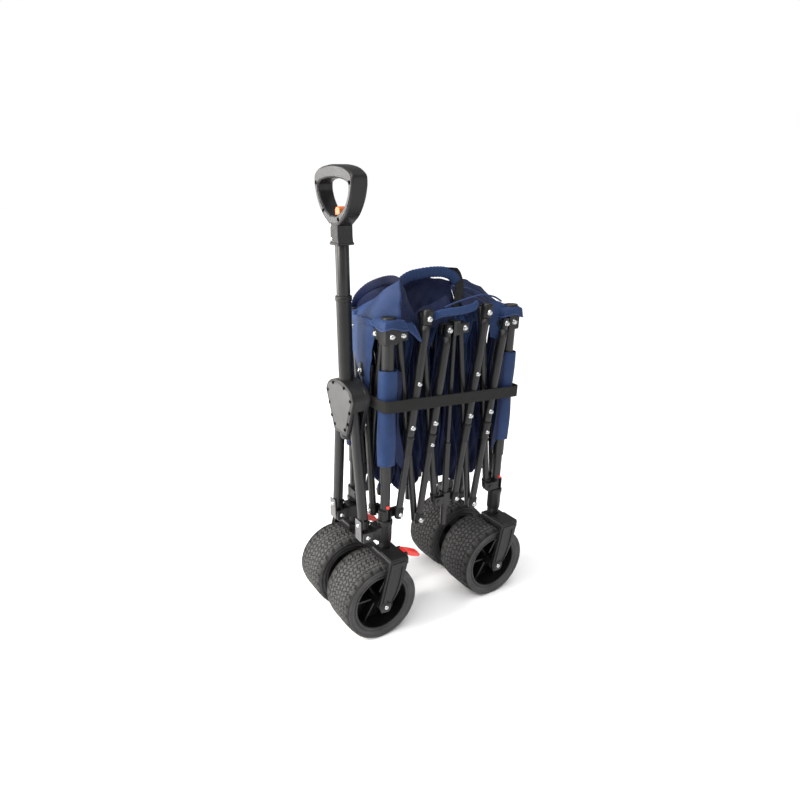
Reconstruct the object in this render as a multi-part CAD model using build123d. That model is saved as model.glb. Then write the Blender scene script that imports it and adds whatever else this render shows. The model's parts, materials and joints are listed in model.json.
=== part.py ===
"""Folding beach cart, stored folded: four-way scissor frame, wide wheels, pull handle and fabric liner.

Row frame in millimetres: +X is the pulling direction, +Y the cart's left, +Z up. The origin is on the
ground, midway between the axles.
"""

import math
import os
from collections import namedtuple

from build123d import *

os.makedirs("parts", exist_ok=True)

# Wheels
WHEEL_R = 100
WHEEL_W = 114
AXLE_X = 180
RIM_R = 74
TYRE_WALL = 8
RIM_WALL = 4
HUB_R = 15
AXLE_R = 5

# Corner posts
POST_Y = 76
POST_FRONT_X = 143
POST_REAR_X = -212
POST_R = 12
POST_TOP_R = 14.5
POST_STEP_Z = 400
POST_TOP_Z = 776
POST_FOOT_Z = 240
POST_WALL = 1.5
CAP_R = 17

# Scissor frame: pin heights, pin offsets from the posts and bar layers
TOP_PIN_Z = 757
SLIDER_PIN_Z = 315
NODE_LOW_Z = 283
LONG_OFFSET = 30
MID_OFFSET = 25
SHORT_OFFSET = 31
LONG_LAYERS = (72, 91)
SHORT_LAYERS = (4, -15)
BAR_R = 8.5
BAR_WALL = 1.2
BAR_END = 12
PIN_R = 3
PIN_CLEAR = 0.06
HEAD_R = 5.5
HEAD_H = 3
EAR_T = 10
EAR_GAP = 1.5
EAR_HALF = 11

# Corner slider and its snap button
SLIDER_Z = (302, 328)
SLIDER_R = 17
SLIDER_CLEAR = 0.08
BUTTON_Z = 337
BUTTON_R = 4

# Front forks and brake pedals
CROWN_Z = (205, 222)
CROWN_Y = (58, 146)
LEG_Y = (136, 146)
PEDAL_PIVOT = (109, 211)

# Pull handle, drawn upright and then leaned forward about the knuckle pins
PITCH_X = 197
PITCH_Z = 268
LEAN = 1.6
YOKE_Y = 66
YOKE_R = 12.5
YOKE_TOP_Y = 33
YOKE_TOP_Z = 575
LOOSE_CLEAR = 1.2
HOUSING_T = 36
OUTER_TUBE_R = 17
INNER_TUBE_R = 15
OUTER_TUBE_Z = (522, 835)
INNER_TUBE_Z = (542, 980)
GRIP_T = 38

Side = namedtuple("Side", "point inner outer")


def rod(start, end, radius):
    """Round rod between two points."""
    start, end = Vector(*start), Vector(*end)
    axis = end - start
    frame = Plane(origin=start, z_dir=axis)
    return frame.location * Pos(0, 0, axis.length / 2) * Cylinder(radius, axis.length)


def box(x, y, z):
    """Box from three (low, high) ranges."""
    size = [high - low for low, high in (x, y, z)]
    centre = [(high + low) / 2 for low, high in (x, y, z)]
    return Pos(*centre) * Box(*size)


def span(a, b):
    """Two numbers in rising order."""
    return (min(a, b), max(a, b))


def save(shape, node):
    export_step(shape, f"parts/{node}.step")


def long_side(sign):
    """Side frame along X, with its inner and outer bar layers as distances from the centre plane."""
    return Side(lambda u, w, z: (u, sign * w, z), *LONG_LAYERS)


def short_side(post_x, sign):
    """End frame along Y, with its bar layers in X measured outward from the post."""
    inner, outer = (post_x - sign * layer for layer in SHORT_LAYERS)
    return Side(lambda u, w, z: (w, u, z), inner, outer)


SIDES = {
    "left": long_side(1),
    "right": long_side(-1),
    "front": short_side(POST_FRONT_X, 1),
    "rear": short_side(POST_REAR_X, -1),
}
POSTS = {
    "fl": (POST_FRONT_X, 1),
    "fr": (POST_FRONT_X, -1),
    "rl": (POST_REAR_X, 1),
    "rr": (POST_REAR_X, -1),
}
MID_X = (POST_FRONT_X + POST_REAR_X) / 2
CROSS_Z = (TOP_PIN_Z + SLIDER_PIN_Z) / 2
LONG_SPAN = ((POST_FRONT_X - POST_REAR_X) / 2 - LONG_OFFSET - MID_OFFSET) / 2
SHORT_SPAN = POST_Y - SHORT_OFFSET
BAR_SLOPE = LONG_SPAN / (TOP_PIN_Z - NODE_LOW_Z)

# Each bay is one pair of crossings: its side, the first pin and the pin spacing
BAYS = {
    "left_front": ("left", POST_FRONT_X - LONG_OFFSET, LONG_SPAN),
    "left_rear": ("left", MID_X - MID_OFFSET, LONG_SPAN),
    "right_front": ("right", POST_FRONT_X - LONG_OFFSET, LONG_SPAN),
    "right_rear": ("right", MID_X - MID_OFFSET, LONG_SPAN),
    "front": ("front", SHORT_SPAN, SHORT_SPAN),
    "rear": ("rear", SHORT_SPAN, SHORT_SPAN),
}


# ---------------------------------------------------------------- scissor bars
def bay_bars(first, step):
    """The four bars of a bay as (frame pin, node pin, on the outer layer)."""
    node = first - step
    last = first - 2 * step
    reach = step / BAR_SLOPE - (TOP_PIN_Z - CROSS_Z)
    high, low = CROSS_Z + reach, CROSS_Z - reach
    return {
        "a": ((first, TOP_PIN_Z), (node, low), False),
        "b": ((first, SLIDER_PIN_Z), (node, high), True),
        "c": ((last, TOP_PIN_Z), (node, low), True),
        "d": ((last, SLIDER_PIN_Z), (node, high), False),
    }


def bar_cross(frame_pin, node_pin):
    """Where a bar meets the other bar of its X."""
    share = (frame_pin[1] - CROSS_Z) / (frame_pin[1] - node_pin[1])
    return (frame_pin[0] + share * (node_pin[0] - frame_pin[0]), CROSS_Z)


def pin(side, at, start, end):
    """Rivet across the bar layers, with its head outside the start."""
    outward = math.copysign(1, start - end) * HEAD_H
    shank = rod(side.point(at[0], start, at[1]), side.point(at[0], end, at[1]), PIN_R)
    head = rod(side.point(at[0], start + outward, at[1]), side.point(at[0], start, at[1]), HEAD_R)
    return shank + head


def scissor_bar(side, frame_pin, node_pin, is_outer):
    """Hollow round bar. An outer bar carries the rivets at its crossing and at its free end."""
    layer = side.outer if is_outer else side.inner
    out = math.copysign(1, side.outer - side.inner)
    du, dz = node_pin[0] - frame_pin[0], node_pin[1] - frame_pin[1]
    length = math.hypot(du, dz)
    du, dz = du / length * BAR_END, dz / length * BAR_END
    start = side.point(frame_pin[0] - du, layer, frame_pin[1] - dz)
    end = side.point(node_pin[0] + du, layer, node_pin[1] + dz)
    bar = rod(start, end, BAR_R) - rod(start, end, BAR_R - BAR_WALL)
    pivots = (frame_pin, bar_cross(frame_pin, node_pin), node_pin)
    for at in pivots:
        near = side.point(at[0], layer + BAR_R + 1, at[1])
        far = side.point(at[0], layer - BAR_R - 1, at[1])
        bar -= rod(near, far, PIN_R + PIN_CLEAR)
    if is_outer:
        for at in pivots[1:]:
            bar += pin(side, at, side.outer + out * (BAR_R - 0.5), side.inner - out * (BAR_R + 1))
    return bar


def ear(side, at, post_u, is_outer):
    """Bracket arm from a post to a frame pin, beside the bar it holds, with the pin."""
    out = math.copysign(1, side.outer - side.inner)
    if is_outer:
        face = side.outer - out * (BAR_R + EAR_GAP)
        back = face - out * EAR_T
        rivet = pin(side, at, side.outer + out * (BAR_R + 0.5), back + out)
    else:
        face = side.inner + out * (BAR_R + EAR_GAP)
        back = face + out * EAR_T
        rivet = pin(side, at, back - out * 0.5, side.inner - out * (BAR_R + 1))
    tip = at[0] + math.copysign(EAR_HALF, at[0] - post_u)
    low = side.point(min(tip, post_u), min(face, back), at[1] - EAR_HALF)
    high = side.point(max(tip, post_u), max(face, back), at[1] + EAR_HALF)
    arm = box(*(span(a, b) for a, b in zip(low, high)))
    return arm + rivet


def corner_ears(post_x, sign, height, uses_outer_front, uses_outer_rear):
    """Both bracket arms of a corner, toward the long side and toward the short side."""
    front = post_x == POST_FRONT_X
    toward = -1 if front else 1
    long_frame = SIDES["left" if sign > 0 else "right"]
    short_frame = SIDES["front" if front else "rear"]
    long_at = (post_x + toward * LONG_OFFSET, height)
    short_at = (sign * SHORT_SPAN, height)
    arms = ear(long_frame, long_at, post_x, uses_outer_front if front else uses_outer_rear)
    arms += ear(short_frame, short_at, sign * POST_Y, uses_outer_front if sign > 0 else uses_outer_rear)
    return arms


def mid_ears(side, height, outer_first):
    """Both bracket arms of a mid-side bracket."""
    arms = ear(side, (MID_X + MID_OFFSET, height), MID_X, outer_first)
    return arms + ear(side, (MID_X - MID_OFFSET, height), MID_X, not outer_first)


# ---------------------------------------------------------------- posts and sliders
def post_tube(x, y):
    """Two-diameter post with an open bore and a moulded foot bush."""
    outer = rod((x, y, POST_FOOT_Z), (x, y, POST_STEP_Z + 10), POST_R)
    outer += rod((x, y, POST_STEP_Z), (x, y, POST_TOP_Z - 6), POST_TOP_R)
    outer -= rod((x, y, POST_FOOT_Z + 40), (x, y, POST_TOP_Z - 12), POST_R - POST_WALL)
    return outer - upper_bore(x, y)


def upper_bore(x, y):
    """Bore of the wider upper tube."""
    return rod((x, y, POST_STEP_Z + 14), (x, y, POST_TOP_Z - 12), POST_TOP_R - POST_WALL)


def post_cap(x, y):
    """Moulded bracket round the post's top, with the ribbed plug above it."""
    block = rod((x, y, TOP_PIN_Z - 19), (x, y, POST_TOP_Z), CAP_R)
    neck = rod((x, y, POST_TOP_Z), (x, y, POST_TOP_Z + 8), 10)
    plug = rod((x, y, POST_TOP_Z + 8), (x, y, POST_TOP_Z + 22), 15)
    return block - upper_bore(x, y) + neck + plug


def button_hole(x, y, sign):
    """Hole in the post's wall for the snap button."""
    return rod((x, y, BUTTON_Z), (x, y + sign * 20, BUTTON_Z), BUTTON_R + 0.1)


def collar(x, y):
    """Moulded socket round the post's foot, with a flared rim."""
    body = rod((x, y, POST_FOOT_Z), (x, y, 292), 15.5)
    rim = rod((x, y, 288), (x, y, 297), 17.5)
    return body + rim


def clevis_base(sign):
    """Arm from the front socket to the knuckle's two lugs."""
    y = sign * YOKE_Y
    stem = box((POST_FRONT_X + 6, POST_FRONT_X + 28), (y - 20, y + 20), (252, 284))
    lugs = box((POST_FRONT_X + 20, PITCH_X + 12), (y - 20, y + 20), (256, 280))
    lugs -= box((POST_FRONT_X + 26, PITCH_X + 20), (y - 14.5, y + 14.5), (250, 290))
    bolt = rod((PITCH_X, y - 23, PITCH_Z), (PITCH_X, y + 23, PITCH_Z), 4)
    return stem + lugs + bolt


def front_post(sign):
    x, y = POST_FRONT_X, sign * POST_Y
    post = post_tube(x, y) + post_cap(x, y) + collar(x, y) + clevis_base(sign)
    post -= rod((x, y, POST_FOOT_Z - 1), (x, y, POST_FOOT_Z + 41), 6.06)
    post -= button_hole(x, y, sign)
    return post + corner_ears(x, sign, TOP_PIN_Z, False, True)


def rear_post(sign):
    """Rear post with its fixed fork: crown, outer leg and axle."""
    x, y = POST_REAR_X, sign * POST_Y
    post = post_tube(x, y) + post_cap(x, y) + collar(x, y)
    post += rod((x, y, CROWN_Z[0]), (x, y, POST_FOOT_Z + 1), 15.5)
    post += fork_arm(x, -AXLE_X, sign)
    post -= button_hole(x, y, sign)
    return post + corner_ears(x, sign, TOP_PIN_Z, False, True)


def corner_slider(x, sign):
    """Ring on the post, slotted for the snap button, with arms to the lower frame pins."""
    y = sign * POST_Y
    low, high = SLIDER_Z
    ring = rod((x, y, low), (x, y, high), SLIDER_R)
    ring += corner_ears(x, sign, SLIDER_PIN_Z, True, False)
    ring -= rod((x, y, low - 1), (x, y, high + 1), POST_R + SLIDER_CLEAR)
    return ring - box((x - 5, x + 5), span(y, y + sign * 20), (low - 1, high + 1))


def snap_button(x, sign):
    y = sign * POST_Y
    stem = rod((x, y + sign * 3, BUTTON_Z), (x, y + sign * (POST_R + 2), BUTTON_Z), BUTTON_R)
    dome = Pos(x, y + sign * (POST_R + 2), BUTTON_Z) * Sphere(BUTTON_R)
    return stem + dome


def mid_y():
    """Distance of the mid-side tubes from the centre plane, between the bar layers."""
    return sum(LONG_LAYERS) / 2


def mid_top(side_name):
    """Upper mid-side bracket with the thin telescoping tube."""
    side = SIDES[side_name]
    tube = rod(side.point(MID_X, mid_y(), 330), side.point(MID_X, mid_y(), 765), 6)
    block = box(*(span(a, b) for a, b in zip(
        side.point(MID_X - 9, mid_y() - 11, 742), side.point(MID_X + 9, mid_y() + 11, 775))))
    return tube + block + mid_ears(side, TOP_PIN_Z, True)


def mid_bottom(side_name):
    """Lower mid-side bracket with the wider tube that the thin one slides in."""
    side = SIDES[side_name]
    at = [side.point(MID_X, mid_y(), z) for z in (240, 470)]
    tube = rod(*at, 8.5)
    block = box(*(span(a, b) for a, b in zip(
        side.point(MID_X - 10, mid_y() - 11, 296), side.point(MID_X + 10, mid_y() + 11, 334))))
    bottom = tube + block + mid_ears(side, SLIDER_PIN_Z, False)
    return bottom - rod(side.point(MID_X, mid_y(), 248), side.point(MID_X, mid_y(), 480), 6.08)


# ---------------------------------------------------------------- forks, wheels and brakes
def fork_arm(post_x, hub_x, sign):
    """One-sided fork: crown over the tyre, slanted outer leg, axle with its end bolt."""
    crown = box((post_x - 26, post_x + 25), span(sign * CROWN_Y[0], sign * CROWN_Y[1]), CROWN_Z)
    foot_x, foot_z = hub_x, WHEEL_R
    outline = Polyline(
        (post_x - 24, CROWN_Z[1] - 4),
        (post_x + 24, CROWN_Z[1] - 4),
        (foot_x + 15, foot_z + 4),
        (foot_x + 10, foot_z - 14),
        (foot_x - 10, foot_z - 14),
        (foot_x - 15, foot_z + 4),
        close=True,
    )
    face = Plane(origin=(0, sign * LEG_Y[0], 0), x_dir=(1, 0, 0), z_dir=(0, -1, 0))
    thickness = LEG_Y[1] - LEG_Y[0]
    leg = extrude(face.location * make_face(outline), amount=-sign * thickness)
    axle = rod((hub_x, sign * 56, WHEEL_R), (hub_x, sign * LEG_Y[1], WHEEL_R), AXLE_R)
    bolt = rod((hub_x, sign * LEG_Y[1], WHEEL_R), (hub_x, sign * (LEG_Y[1] + 3), WHEEL_R), 9)
    nut = rod((hub_x, sign * 56, WHEEL_R), (hub_x, sign * 52, WHEEL_R), 9)
    return crown + leg + axle + bolt + nut


def front_fork(sign):
    """Swivelling fork: the one-sided fork with its kingpin and thrust boss."""
    x, y = POST_FRONT_X, sign * POST_Y
    fork = fork_arm(x, AXLE_X, sign)
    fork += rod((x, y, CROWN_Z[1] - 1), (x, y, POST_FOOT_Z - 1), 14)
    fork += rod((x, y, POST_FOOT_Z - 2), (x, y, POST_FOOT_Z + 36), 6)
    px, pz = PEDAL_PIVOT
    lugs = box((px - 6, x - 24), span(sign * 84, sign * 90), (pz - 6, pz + 6))
    lugs += box((px - 6, x - 24), span(sign * 116, sign * 122), (pz - 6, pz + 6))
    return fork + lugs + rod((px, sign * 82, pz), (px, sign * 124, pz), 3)


def brake_pedal(sign):
    """Foot pedal that tapers to its tip, bored for the pivot between the fork's lugs."""
    px, pz = PEDAL_PIVOT
    outline = Polyline(
        (px + 5, pz + 5),
        (px - 22, pz + 9),
        (px - 46, pz + 2),
        (px - 48, pz - 5),
        (px - 20, pz - 3),
        (px + 5, pz - 5),
        close=True,
    )
    face = Plane(origin=(0, sign * 91, 0), x_dir=(1, 0, 0), z_dir=(0, -1, 0))
    pedal = extrude(face.location * make_face(outline), amount=-sign * 24)
    return pedal - rod((px, sign * 80, pz), (px, sign * 126, pz), 3.06)


def tyre(x, sign):
    """Wide tyre with rounded shoulders, hollow behind its tread and sidewalls."""
    low, high = sign * POST_Y - WHEEL_W / 2, sign * POST_Y + WHEEL_W / 2
    body = rod((x, low, WHEEL_R), (x, high, WHEEL_R), WHEEL_R)
    body = fillet(body.edges().filter_by(GeomType.CIRCLE), 12)
    body -= rod((x, low - 1, WHEEL_R), (x, high + 1, WHEEL_R), RIM_R)
    return body - rod((x, low + TYRE_WALL, WHEEL_R), (x, high - TYRE_WALL, WHEEL_R), WHEEL_R - TYRE_WALL)


def rim(x, sign):
    """Deep-dish rim: barrel, web, ribs and bored hub."""
    y = sign * POST_Y
    half = WHEEL_W / 2 - 5
    barrel = rod((x, y - half, WHEEL_R), (x, y + half, WHEEL_R), RIM_R)
    barrel -= rod((x, y - half - 1, WHEEL_R), (x, y + half + 1, WHEEL_R), RIM_R - RIM_WALL)
    web = rod((x, y - sign * 8, WHEEL_R), (x, y + sign * 2, WHEEL_R), RIM_R - 1)
    hub = rod((x, y - sign * 15, WHEEL_R), (x, y + sign * 56, WHEEL_R), HUB_R)
    ribs = [
        Pos(x, y + sign * 14, WHEEL_R) * Rot(0, 60 * turn, 0) * Pos((RIM_R + HUB_R) / 2 - 3, 0, 0)
        * Box(RIM_R - HUB_R, 26, 5)
        for turn in range(6)
    ]
    wheel = barrel + web + hub
    for rib in ribs:
        wheel += rib
    return wheel - rod((x, y - 70, WHEEL_R), (x, y + 70, WHEEL_R), AXLE_R + PIN_CLEAR)


# ---------------------------------------------------------------- pull handle
def leaned(shape):
    """Lean an upright handle piece forward about the knuckle pins."""
    return Pos(PITCH_X, 0, PITCH_Z) * Rot(0, LEAN, 0) * Pos(-PITCH_X, 0, -PITCH_Z) * shape


def knuckle(sign):
    """Block on the front pin, with the cross pin that the yoke tube turns on."""
    y = sign * YOKE_Y
    block = box((PITCH_X - 9, PITCH_X + 9), (y - 14.2, y + 14.2), (PITCH_Z - 9, PITCH_Z + 10))
    tongue = box((PITCH_X - 4, PITCH_X + 4), (y - 9, y + 9), (PITCH_Z + 9, PITCH_Z + 38))
    cross = rod((PITCH_X - 17, y, PITCH_Z + 28), (PITCH_X + 17, y, PITCH_Z + 28), PIN_R)
    piece = block + tongue + cross
    return piece - rod((PITCH_X, y - 30, PITCH_Z), (PITCH_X, y + 30, PITCH_Z), 4.06)


def yoke_axis(sign):
    """Ends of a yoke tube: its knuckle pin and its housing pin."""
    return (PITCH_X, sign * YOKE_Y, PITCH_Z + 28), (PITCH_X, sign * YOKE_TOP_Y, YOKE_TOP_Z)


def yoke(sign, foot_clear):
    """Yoke tube from the knuckle to the housing, slotted round the knuckle's tongue."""
    low, high = (Vector(*point) for point in yoke_axis(sign))
    along = (high - low).normalized()
    start, end = low - along * 8, high + along * 5
    tube = rod(start, end, YOKE_R) - rod(start, end, YOKE_R - 1.5)
    tube += rod(start, low + along * 19, YOKE_R)
    tube += rod(high - along * 14, end, YOKE_R)
    reach = Vector(YOKE_R + 5, 0, 0)
    tube -= rod(low - reach, low + reach, PIN_R + foot_clear)
    tube -= rod(high - reach, high + reach, PIN_R + PIN_CLEAR)
    slot_frame = Plane(origin=low, x_dir=(1, 0, 0), z_dir=along)
    return tube - slot_frame.location * Box(8.4, 40, 31)


def housing_face(inset):
    """Shield outline of the housing, drawn in Y and Z."""
    wide, top, shoulder, low, foot = 66 - inset, 648 - inset, 612, 526 + inset, 37 - inset
    edges = Spline((-wide, shoulder), (-wide + 12, shoulder + 19), (0, top), (wide - 12, shoulder + 19), (wide, shoulder))
    edges += Line((wide, shoulder), (foot, low))
    edges += Line((foot, low), (-foot, low))
    edges += Line((-foot, low), (-wide, shoulder))
    return Plane.YZ.location * make_face(edges)


def housing():
    """Two-part moulded hub that holds the yoke tubes and the outer handle tube."""
    back = PITCH_X - HOUSING_T / 2
    shell = extrude(Pos(back, 0, 0) * housing_face(0), amount=HOUSING_T)
    cavity = extrude(Pos(back + 4, 0, 0) * housing_face(5), amount=HOUSING_T - 8)
    cavity -= box((PITCH_X - 30, PITCH_X + 30), (-19, 19), (500, 660))
    mouth = box((back + 4, back + HOUSING_T - 4), (-70, -19), (505, 584))
    mouth += box((back + 4, back + HOUSING_T - 4), (19, 70), (505, 584))
    shell = shell - cavity - mouth
    low, high = OUTER_TUBE_Z
    tube = rod((PITCH_X, 0, low - 8), (PITCH_X, 0, high), OUTER_TUBE_R)
    shell += tube
    for sign in (-1, 1):
        y = sign * YOKE_TOP_Y
        shell += rod((back + 1, y, YOKE_TOP_Z), (back + HOUSING_T - 1, y, YOKE_TOP_Z), PIN_R)
    return shell - rod((PITCH_X, 0, low), (PITCH_X, 0, high + 1), INNER_TUBE_R + 0.08)


def grip_outline(side, top, crown, waist, foot):
    """D outline in Y and Z: bowed top bar and sides that draw in to the neck."""
    edges = ThreePointArc((-side, top), (0, crown), (side, top))
    edges += Spline((side, top), (side * 0.86, top - 42), (foot, waist))
    edges += Line((foot, waist), (-foot, waist))
    edges += Spline((-foot, waist), (-side * 0.86, top - 42), (-side, top))
    return Plane.YZ.location * make_face(edges)


def pull_handle():
    """Inner telescoping tube with the moulded D grip and its collar."""
    back = PITCH_X - GRIP_T / 2
    low, high = INNER_TUBE_Z
    tube = rod((PITCH_X, 0, low), (PITCH_X, 0, high), INNER_TUBE_R)
    tube -= rod((PITCH_X, 0, low - 1), (PITCH_X, 0, high - 20), INNER_TUBE_R - 1.5)
    collar_block = box((back + 1, back + GRIP_T - 1), (-18, 18), (946, 992))
    loop = extrude(Pos(back, 0, 0) * grip_outline(82, 1082, 1103, 984, 18), amount=GRIP_T)
    hole = extrude(Pos(back - 1, 0, 0) * grip_outline(65, 1063, 1077, 1007, 12), amount=GRIP_T + 2)
    pocket = box((PITCH_X - 9.3, PITCH_X + 9.3), (-10.3, 10.3), (994, 1010))
    return tube + collar_block + loop - hole - pocket


def release_button():
    """Thumb button in the floor of the grip's opening."""
    stem = box((PITCH_X - 9, PITCH_X + 9), (-10, 10), (1001, 1013))
    dome = rod((PITCH_X - 9, 0, 1012), (PITCH_X + 9, 0, 1012), 10)
    return stem + (dome & box((PITCH_X - 9, PITCH_X + 9), (-10, 10), (1012, 1024)))


# ---------------------------------------------------------------- fabric
def liner():
    """Folded fabric liner inside the frame, and the belt strapped round the folded cart."""
    bundle = box((-184, 112), (-50, 50), (330, 830))
    bundle -= box((-150, 80), (-34, 34), (420, 840))
    belt = box((-241, 176), (-104, 104), (574, 610)) - box((-238.5, 173.5), (-101.5, 101.5), (570, 615))
    return Compound([bundle, belt])


for bay, (side_name, first, step) in BAYS.items():
    for letter, (frame_pin, node_pin, is_outer) in bay_bars(first, step).items():
        save(scissor_bar(SIDES[side_name], frame_pin, node_pin, is_outer), f"bar_{bay}_{letter}")

for corner, (post_x, sign) in POSTS.items():
    is_front = post_x == POST_FRONT_X
    save(front_post(sign) if is_front else rear_post(sign), f"post_{corner}")
    save(corner_slider(post_x, sign), f"slider_{corner}")
    save(snap_button(post_x, sign), f"snap_button_{corner}")
    hub_x = AXLE_X if is_front else -AXLE_X
    save(tyre(hub_x, sign), f"tyre_{corner}")
    save(rim(hub_x, sign), f"rim_{corner}")

for name, sign in (("l", 1), ("r", -1)):
    save(front_fork(sign), f"fork_f{name}")
    save(brake_pedal(sign), f"brake_pedal_{name}")
    save(leaned(knuckle(sign)), f"knuckle_{name}")
    save(leaned(yoke(sign, PIN_CLEAR if sign > 0 else LOOSE_CLEAR)), f"yoke_{name}")
    side_name = "left" if sign > 0 else "right"
    save(mid_top(side_name), f"mid_top_{name}")
    save(mid_bottom(side_name), f"mid_bottom_{name}")

save(leaned(housing()), "handle_housing")
save(leaned(pull_handle()), "pull_handle")
save(leaned(release_button()), "release_button")
save(liner(), "liner")
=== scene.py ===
"""Looks of the folding beach cart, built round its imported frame. In metres: +X pulls, +Y left, +Z up."""

import itertools
import json
import math

import bmesh
import bpy
import numpy as np
from mathutils import Matrix, Vector


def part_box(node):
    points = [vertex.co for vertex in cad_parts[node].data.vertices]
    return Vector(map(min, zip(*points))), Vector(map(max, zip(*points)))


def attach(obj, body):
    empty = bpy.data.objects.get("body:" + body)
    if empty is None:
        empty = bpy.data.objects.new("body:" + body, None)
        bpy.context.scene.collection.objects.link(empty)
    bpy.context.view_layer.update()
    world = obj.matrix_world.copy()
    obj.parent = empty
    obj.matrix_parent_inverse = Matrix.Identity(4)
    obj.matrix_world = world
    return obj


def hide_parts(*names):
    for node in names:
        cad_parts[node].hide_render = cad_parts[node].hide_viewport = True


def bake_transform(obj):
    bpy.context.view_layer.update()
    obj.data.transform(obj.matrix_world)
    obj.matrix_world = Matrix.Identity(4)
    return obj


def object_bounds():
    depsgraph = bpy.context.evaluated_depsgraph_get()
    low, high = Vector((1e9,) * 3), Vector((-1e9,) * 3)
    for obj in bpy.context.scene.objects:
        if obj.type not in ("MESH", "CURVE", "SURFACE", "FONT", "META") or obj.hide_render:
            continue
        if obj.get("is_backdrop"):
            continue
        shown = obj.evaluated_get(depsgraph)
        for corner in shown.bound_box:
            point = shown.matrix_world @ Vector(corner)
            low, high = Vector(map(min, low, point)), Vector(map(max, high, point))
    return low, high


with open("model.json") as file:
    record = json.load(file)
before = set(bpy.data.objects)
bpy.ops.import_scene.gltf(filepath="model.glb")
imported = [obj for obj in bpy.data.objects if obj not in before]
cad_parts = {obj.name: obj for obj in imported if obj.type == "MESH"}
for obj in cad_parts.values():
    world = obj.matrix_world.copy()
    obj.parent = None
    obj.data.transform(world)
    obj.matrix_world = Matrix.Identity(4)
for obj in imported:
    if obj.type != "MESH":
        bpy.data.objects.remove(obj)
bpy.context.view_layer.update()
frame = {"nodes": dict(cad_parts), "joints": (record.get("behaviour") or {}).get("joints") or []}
JOINTS = {j["name"]: j for j in frame["joints"]}
MM = 0.001
# How strongly the white surroundings light the cart, against 1 as the background
AMBIENT = 0.36
# Recess round a small screw, as (radius, depth) in mm
SCREW_CUP = [(0, 0.3), (1.1, 0.5), (2.6, 0.4), (3.0, 0.9), (3.7, 1.0), (4.1, 0.5), (4.2, -1)]

# The camera's place, from the ground centre: azimuth and elevation in degrees, metres, and lens in mm
CAMERA_AZIMUTH = 148.42
CAMERA_ELEVATION = 21.33
CAMERA_ROLL = 0.76
CAMERA_DISTANCE = 1.525
CAMERA_TARGET = (0.1246, 0.0, 0.5032)
CAMERA_LENS = 28.0
CAMERA_SHIFT = (0.0298, 0.0387)

# Bar layers and pin heights of the frame, repeated from the CAD
LAYER_IN = 0.072
LAYER_OUT = 0.091
CROSS_Z = 0.536
TOP_Z = 0.757
SLIDER_Z = 0.315
NODE_LOW_Z = 0.283
SIGNS = {"l": 1, "r": -1}

# Moulded sleeves on the sides' outer bars, and the wider upper tubes that start inside them
SLEEVE_B_Z = 0.492
SLEEVE_C_Z = 0.486
UPPER_FOOT_Z = 0.500
UPPER_R = 0.0105

# Half height of the bracket cheeks, and half width of the posts' moulded heads
CHEEK_HALF = 0.0125
HEAD_HALF = 0.0172

# Outer face of the fork legs, the axle's height, and half the depth of the pull handle's grip
FORK_FACE = 0.1466
AXLE_Z = 0.1
GRIP_HALF = 0.0185

# The liner's walls: lower edge, depth on the bay's scale, and reach past the pins at posts and mid brackets
WALL_FLOOR = 0.345
WALL_DEPTH = 0.0480
WALL_AT_POST = 0.012
WALL_AT_MID = 0.0245

# Lowest and highest point of each post's fabric sleeve
SLEEVES = {"fl": (0.448, 0.679), "fr": (0.448, 0.679), "rl": (0.446, 0.681), "rr": (0.446, 0.681)}


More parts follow.
